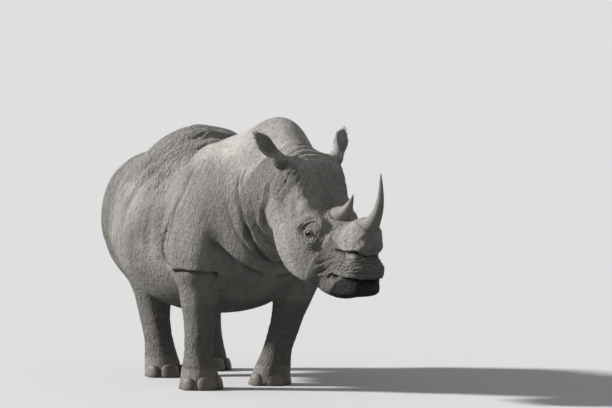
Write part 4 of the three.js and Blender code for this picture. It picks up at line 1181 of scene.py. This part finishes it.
def strands(name, roots, ways, droops, lengths, widths, places, seed):
    """Three-sided blades in one mesh. A blade's middle line is its root, plus its way times the
    length, plus its droop times the share along it squared; the radius falls to a tip. In the map
    OFBake each blade is a small patch, placed by where its root is on the skin."""
    count, rings = roots.shape[1], 5
    share = np.linspace(0, 1, rings)[None, :, None]
    turn = np.array([0, 2 * np.pi / 3, 4 * np.pi / 3])[None, None]
    ways = ways / np.linalg.norm(ways, axis=0)
    side = np.cross(ways.T, np.random.default_rng(seed).normal(size=(count, 3))).T
    side /= np.linalg.norm(side, axis=0)
    other = np.cross(ways.T, side.T).T
    radius = (widths / 2)[:, None, None] * (1 - 0.93 * share ** 1.4)
    shape = (slice(None), slice(None), None, None)
    points = (roots[shape] + ways[shape] * lengths[:, None, None] * share + droops[shape] * share ** 2
              + side[shape] * radius * np.cos(turn) + other[shape] * radius * 0.6 * np.sin(turn))
    ring = np.arange(3)
    quads = np.array([(r * 3 + k, r * 3 + (k + 1) % 3, r * 3 + 3 + (k + 1) % 3, r * 3 + 3 + k)
                      for r in range(rings - 1) for k in ring])
    ends = np.array([ring[::-1], ring + 3 * (rings - 1)])
    first = np.arange(count)[:, None, None] * rings * 3
    faces = (quads + first).reshape(-1, 4).tolist() + (ends + first).reshape(-1, 3).tolist()
    piece = mesh_object(name, points.reshape(3, -1), faces)
    across = places[0][:, None, None] + HALF_PATCH * np.cos(turn) + 0 * share
    high = places[1][:, None, None] + HALF_PATCH * (2 * share - 1) + 0 * turn
    corners = np.empty(len(piece.data.loops), int)
    piece.data.loops.foreach_get("vertex_index", corners)
    bake_map = piece.data.uv_layers.new(name="OFBake")
    bake_map.data.foreach_set("uv", np.stack([across.ravel()[corners], high.ravel()[corners]], 1).ravel())
    piece.data.materials.append(bristle)
    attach(piece, "root")
    return piece


# the tail's brush: roots round the last of the tail, most of them at its two edges
rng = np.random.default_rng(31)
bearing = rng.choice([0.5, 1.5], BRISTLES) * np.pi + rng.normal(0, 0.55, BRISTLES)
height = rng.uniform(0.585, 0.685, BRISTLES)
roots = np.stack([-1.197 + 0.010 * np.cos(bearing), 0.012 * np.sin(bearing), height])
ways = np.stack([0.10 * np.cos(bearing), 0.22 * np.sin(bearing), -1 + 0 * bearing])
ways += rng.normal(0, 0.05, (3, BRISTLES))
lengths = rng.uniform(0.085, 0.150, BRISTLES)
droops = np.stack([-0.012 * np.cos(bearing), -0.018 * np.sin(bearing), -0.01 + 0 * bearing])
places = np.stack([(bearing / (2 * np.pi)) % 1 * 0.98 + 0.01, (height - 0.5) * 4])
widths = rng.uniform(0.0022, 0.0040, BRISTLES)
brush = strands("tail_bristles", roots, ways, droops, lengths, widths, places, 32)
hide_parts("tail_brush")

for name, sign in SIDES.items():
    # the ear's fringe, along both rims of its upper half, longest at the tip
    root, length, axes = EARS[name]
    rng = np.random.default_rng(41 + sign)
    share = 1 - 0.45 * rng.uniform(0, 1, EAR_HAIRS) ** 1.7
    edge = rng.choice([-1.0, 1.0], EAR_HAIRS)
    half = along([row[:2] for row in EAR], share)[0]
    local = np.stack([share * length, edge * (half - 0.003), rng.uniform(-0.002, 0.006, EAR_HAIRS)])
    steep = eased((share - 0.75) / 0.25)
    ways = np.stack([0.35 + 0.9 * steep, edge * (0.9 - 0.5 * steep), 0.15 + 0 * share])
    ways += rng.normal(0, 0.20, (3, EAR_HAIRS))
    roots = from_head((root[:, None] + axes.T @ local).astype(F))
    lengths = rng.uniform(0.009, 0.020, EAR_HAIRS) * (1 + 0.7 * steep)
    places = np.stack([share * 0.98, 0.5 + edge * (0.2 + 0.2 * rng.uniform(0, 1, EAR_HAIRS))])
    droops = HEAD_AXES.T @ (axes.T @ np.stack([0 * share, -0.003 * edge, 0 * share]))
    strands("ear_fringe_" + name, roots, HEAD_AXES.T @ (axes.T @ ways), droops, lengths,
            rng.uniform(0.0012, 0.0022, EAR_HAIRS), places, 43 + sign)

    # the lashes, in the eye's axes: forward along the slit, out and up
    parts = []
    for amount, above, height, share in LASHES.values():
        slit = np.linspace(-0.0165, 0.0165, amount) + rng.normal(0, 0.0006, amount)
        rise = above * height * np.sqrt(1 - (slit / 0.021) ** 2)
        local = np.stack([slit, 0.0215 + 0.003 * (above > 0) + 0 * slit, rise])
        way = np.stack([slit * 22, 0.9 + 0 * slit, above * 0.35 + 0 * slit])
        way += rng.normal(0, 0.08, (3, amount))
        droop = np.stack([0 * slit, -0.002 + 0 * slit, above * 0.006 + 0 * slit])
        parts.append((local, way, droop, rng.uniform(0.011, 0.017, amount) * share,
                      np.stack([0.5 + slit * 20, 0.5 + rise * 20])))
    mirror = np.array([[1], [sign], [1]])
    local, way, droop, lengths, places = (np.concatenate(part, -1) for part in zip(*parts))
    roots = from_head(((EYE_AXES.T @ local + EYE_AT[:, None]) * mirror).astype(F))
    strands("lashes_" + name, roots, HEAD_AXES.T @ (EYE_AXES.T @ way * mirror),
            HEAD_AXES.T @ (EYE_AXES.T @ droop * mirror), lengths, np.full(lengths.shape, 0.0012),
            places, 47 + sign)

# ==== Toenails ================================================================================
# Three broad, blunt nails let into the front rim of each foot, the middle one widest. Each is a
# rounded lump with a flat underside, dull and dusty, with growth lines across it.

# A nail's bearing in degrees and half its width; a foot's stances, toes' place ahead, and radius.
NAILS = {"inner": (-60, 0.047), "middle": (0, 0.066), "outer": (60, 0.047)}
FEET = {"fore": (FORELEGS, FORE_TOES_AHEAD, 0.133), "hind": (HINDLEGS, HIND_TOES_AHEAD, 0.127)}
NAIL_ROWS, NAIL_COLUMNS = 30, 44
NAIL_THICKNESS, NAIL_MIDDLE, NAIL_UNDERSIDE = 0.015, 0.036, 0.005
NAIL_DARK, NAIL_DUSTY = (0.085, 0.072, 0.058, 1), (0.215, 0.188, 0.155, 1)
NAIL_WORN = (0.27, 0.24, 0.20, 1)


def nail_points(foot, ahead, radius, angle, half, sign):
    """A ball squeezed to a squarer outline, then wrapped round the foot: its width becomes a
    bearing about the foot's centre, and its reach from there shrinks with height, as the foot's
    does. Its underside is pressed flat just above the ground."""
    polar, turn = np.meshgrid(np.linspace(0.02, np.pi - 0.02, NAIL_ROWS),
                              np.linspace(0, 2 * np.pi, NAIL_COLUMNS, False), indexing="ij")

    def squarer(value, power):
        """The value's size raised to a power, its sign kept."""
        return np.sign(value) * np.abs(value) ** power

    out = squarer(np.sin(polar) * np.cos(turn), 0.9) * NAIL_THICKNESS
    across = squarer(np.sin(polar) * np.sin(turn), 0.7) * half
    height = NAIL_MIDDLE + squarer(np.cos(polar), 0.75) * (0.030 + 0.32 * half)
    bearing = np.radians(angle * sign) + across / radius
    reach = radius + 0.006 - 0.17 * height - 1.6 * across ** 2 + out
    points = np.stack([foot[0] + ahead + reach * np.cos(bearing), foot[1] + reach * np.sin(bearing),
                       np.maximum(height, NAIL_UNDERSIDE)])
    return points.reshape(3, -1)


def nail_material():
    """Dusty dark horn, with worn pale growth lines across it."""
    material, tree, shader = new_material("toenail")
    coords = object_places(tree)
    grain = cloud(tree, coords, 70.0, 4.0)
    lines = cloud(tree, mapped(tree, coords, (0.25, 0.25, 1.6)), 60.0, 3.0)
    colour = mixed(tree, grain, NAIL_DARK, NAIL_DUSTY)
    colour = mixed(tree, ramp(tree, lines, 1.6, -0.65), colour, NAIL_WORN)
    link_surface(tree, shader, colour, math(tree, "MULTIPLY_ADD", lines, 1.5, grain), 0.5, 0.002)
    shader.inputs["Roughness"].default_value = 0.55
    return material


toenail_finish = nail_material()
for limb, (stances, ahead, radius) in FEET.items():
    for name, sign in SIDES.items():
        for toe, (angle, half) in NAILS.items():
            lump = nail_points(stances[name][0], ahead, radius, angle, half, sign)
            lump, faces = capped(lump, NAIL_ROWS, NAIL_COLUMNS)
            label = "_".join((limb, name, toe))
            toenail = mesh_object("nail_" + label, lump, faces)
            toenail.data.materials.append(toenail_finish)
            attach(toenail, "root")
            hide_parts("toenail_" + label)

# ==== Light, floor and camera =================================================================
# A wide pale floor, one soft lamp from the animal's hind right, and an even pale sky. The camera
# is far off and low, ahead of the animal's right shoulder.

FLOOR_SIZE = 400
FLOOR_UNDER, FLOOR_SEEN = (0.22, 0.22, 0.22, 1), (0.80, 0.80, 0.79, 1)
SKY_COLOUR, SKY_STRENGTH = (0.95, 0.97, 1.0, 1), 0.22
KEY_STRENGTH, KEY_SOFTNESS = 4.4, 6  # the softness in degrees
KEY_HEIGHT, KEY_ASIDE, KEY_BEHIND = 0.48, 0.85, 0.06  # its way, up, left and back of the view
CAMERA_AZIMUTH, CAMERA_HEIGHT_ANGLE, CAMERA_DISTANCE = 68, 3, 33.0
CAMERA_LENS, CAMERA_SENSOR = 301, 36

bpy.ops.mesh.primitive_plane_add(size=FLOOR_SIZE)
floor = bpy.context.object
floor.name = "floor"
floor_material, tree, shader = new_material("floor")
seen = node(tree, "ShaderNodeLightPath").outputs["Is Camera Ray"]
tree.links.new(mixed(tree, seen, FLOOR_UNDER, FLOOR_SEEN), shader.inputs["Base Color"])
shader.inputs["Roughness"].default_value = 0.9
shader.inputs["Specular IOR Level"].default_value = 0.1
floor.data.materials.append(floor_material)

azimuth, rise = np.radians([CAMERA_AZIMUTH, CAMERA_HEIGHT_ANGLE])
look = np.array([-np.sin(azimuth) * np.cos(rise), np.cos(azimuth) * np.cos(rise), -np.sin(rise)])
aim = np.array([0.45, 0.412, 1.17]) + SHIFT  # beside the trunk, so that the head fits in too


def looking(direction):
    """A turn that points an object's -Z along a direction, with its Y kept up."""
    return mathutils.Vector(direction).to_track_quat("-Z", "Y").to_euler()


camera = bpy.data.objects.new("camera", bpy.data.cameras.new("camera"))
camera.location = aim - look * CAMERA_DISTANCE
camera.rotation_euler = looking(look)
camera.data.sensor_width = CAMERA_SENSOR
camera.data.lens = CAMERA_LENS
camera.data.clip_end = 500
bpy.context.scene.collection.objects.link(camera)
bpy.context.scene.camera = camera

right = np.array([np.cos(azimuth), np.sin(azimuth), 0])
towards = unit(-look * [1, 1, 0])
key_way = unit(right * KEY_ASIDE + towards * KEY_BEHIND - np.array([0, 0, KEY_HEIGHT]))
key = bpy.data.objects.new("key", bpy.data.lights.new("key", "SUN"))
key.data.energy = KEY_STRENGTH
key.data.angle = np.radians(KEY_SOFTNESS)
key.rotation_euler = looking(key_way)
bpy.context.scene.collection.objects.link(key)

world = bpy.data.worlds.new("sky")
world.use_nodes = True
bpy.context.scene.world = world
sky = world.node_tree
background = sky.nodes["Background"]
background.inputs["Color"].default_value = SKY_COLOUR
ray = node(sky, "ShaderNodeLightPath").outputs
plain = math(sky, "MAXIMUM", ray["Is Camera Ray"], ray["Is Glossy Ray"])
strength = math(sky, "MULTIPLY_ADD", plain, 1.0 - SKY_STRENGTH, SKY_STRENGTH)
sky.links.new(strength, background.inputs["Strength"])

bpy.context.scene.view_settings.view_transform = "Standard"
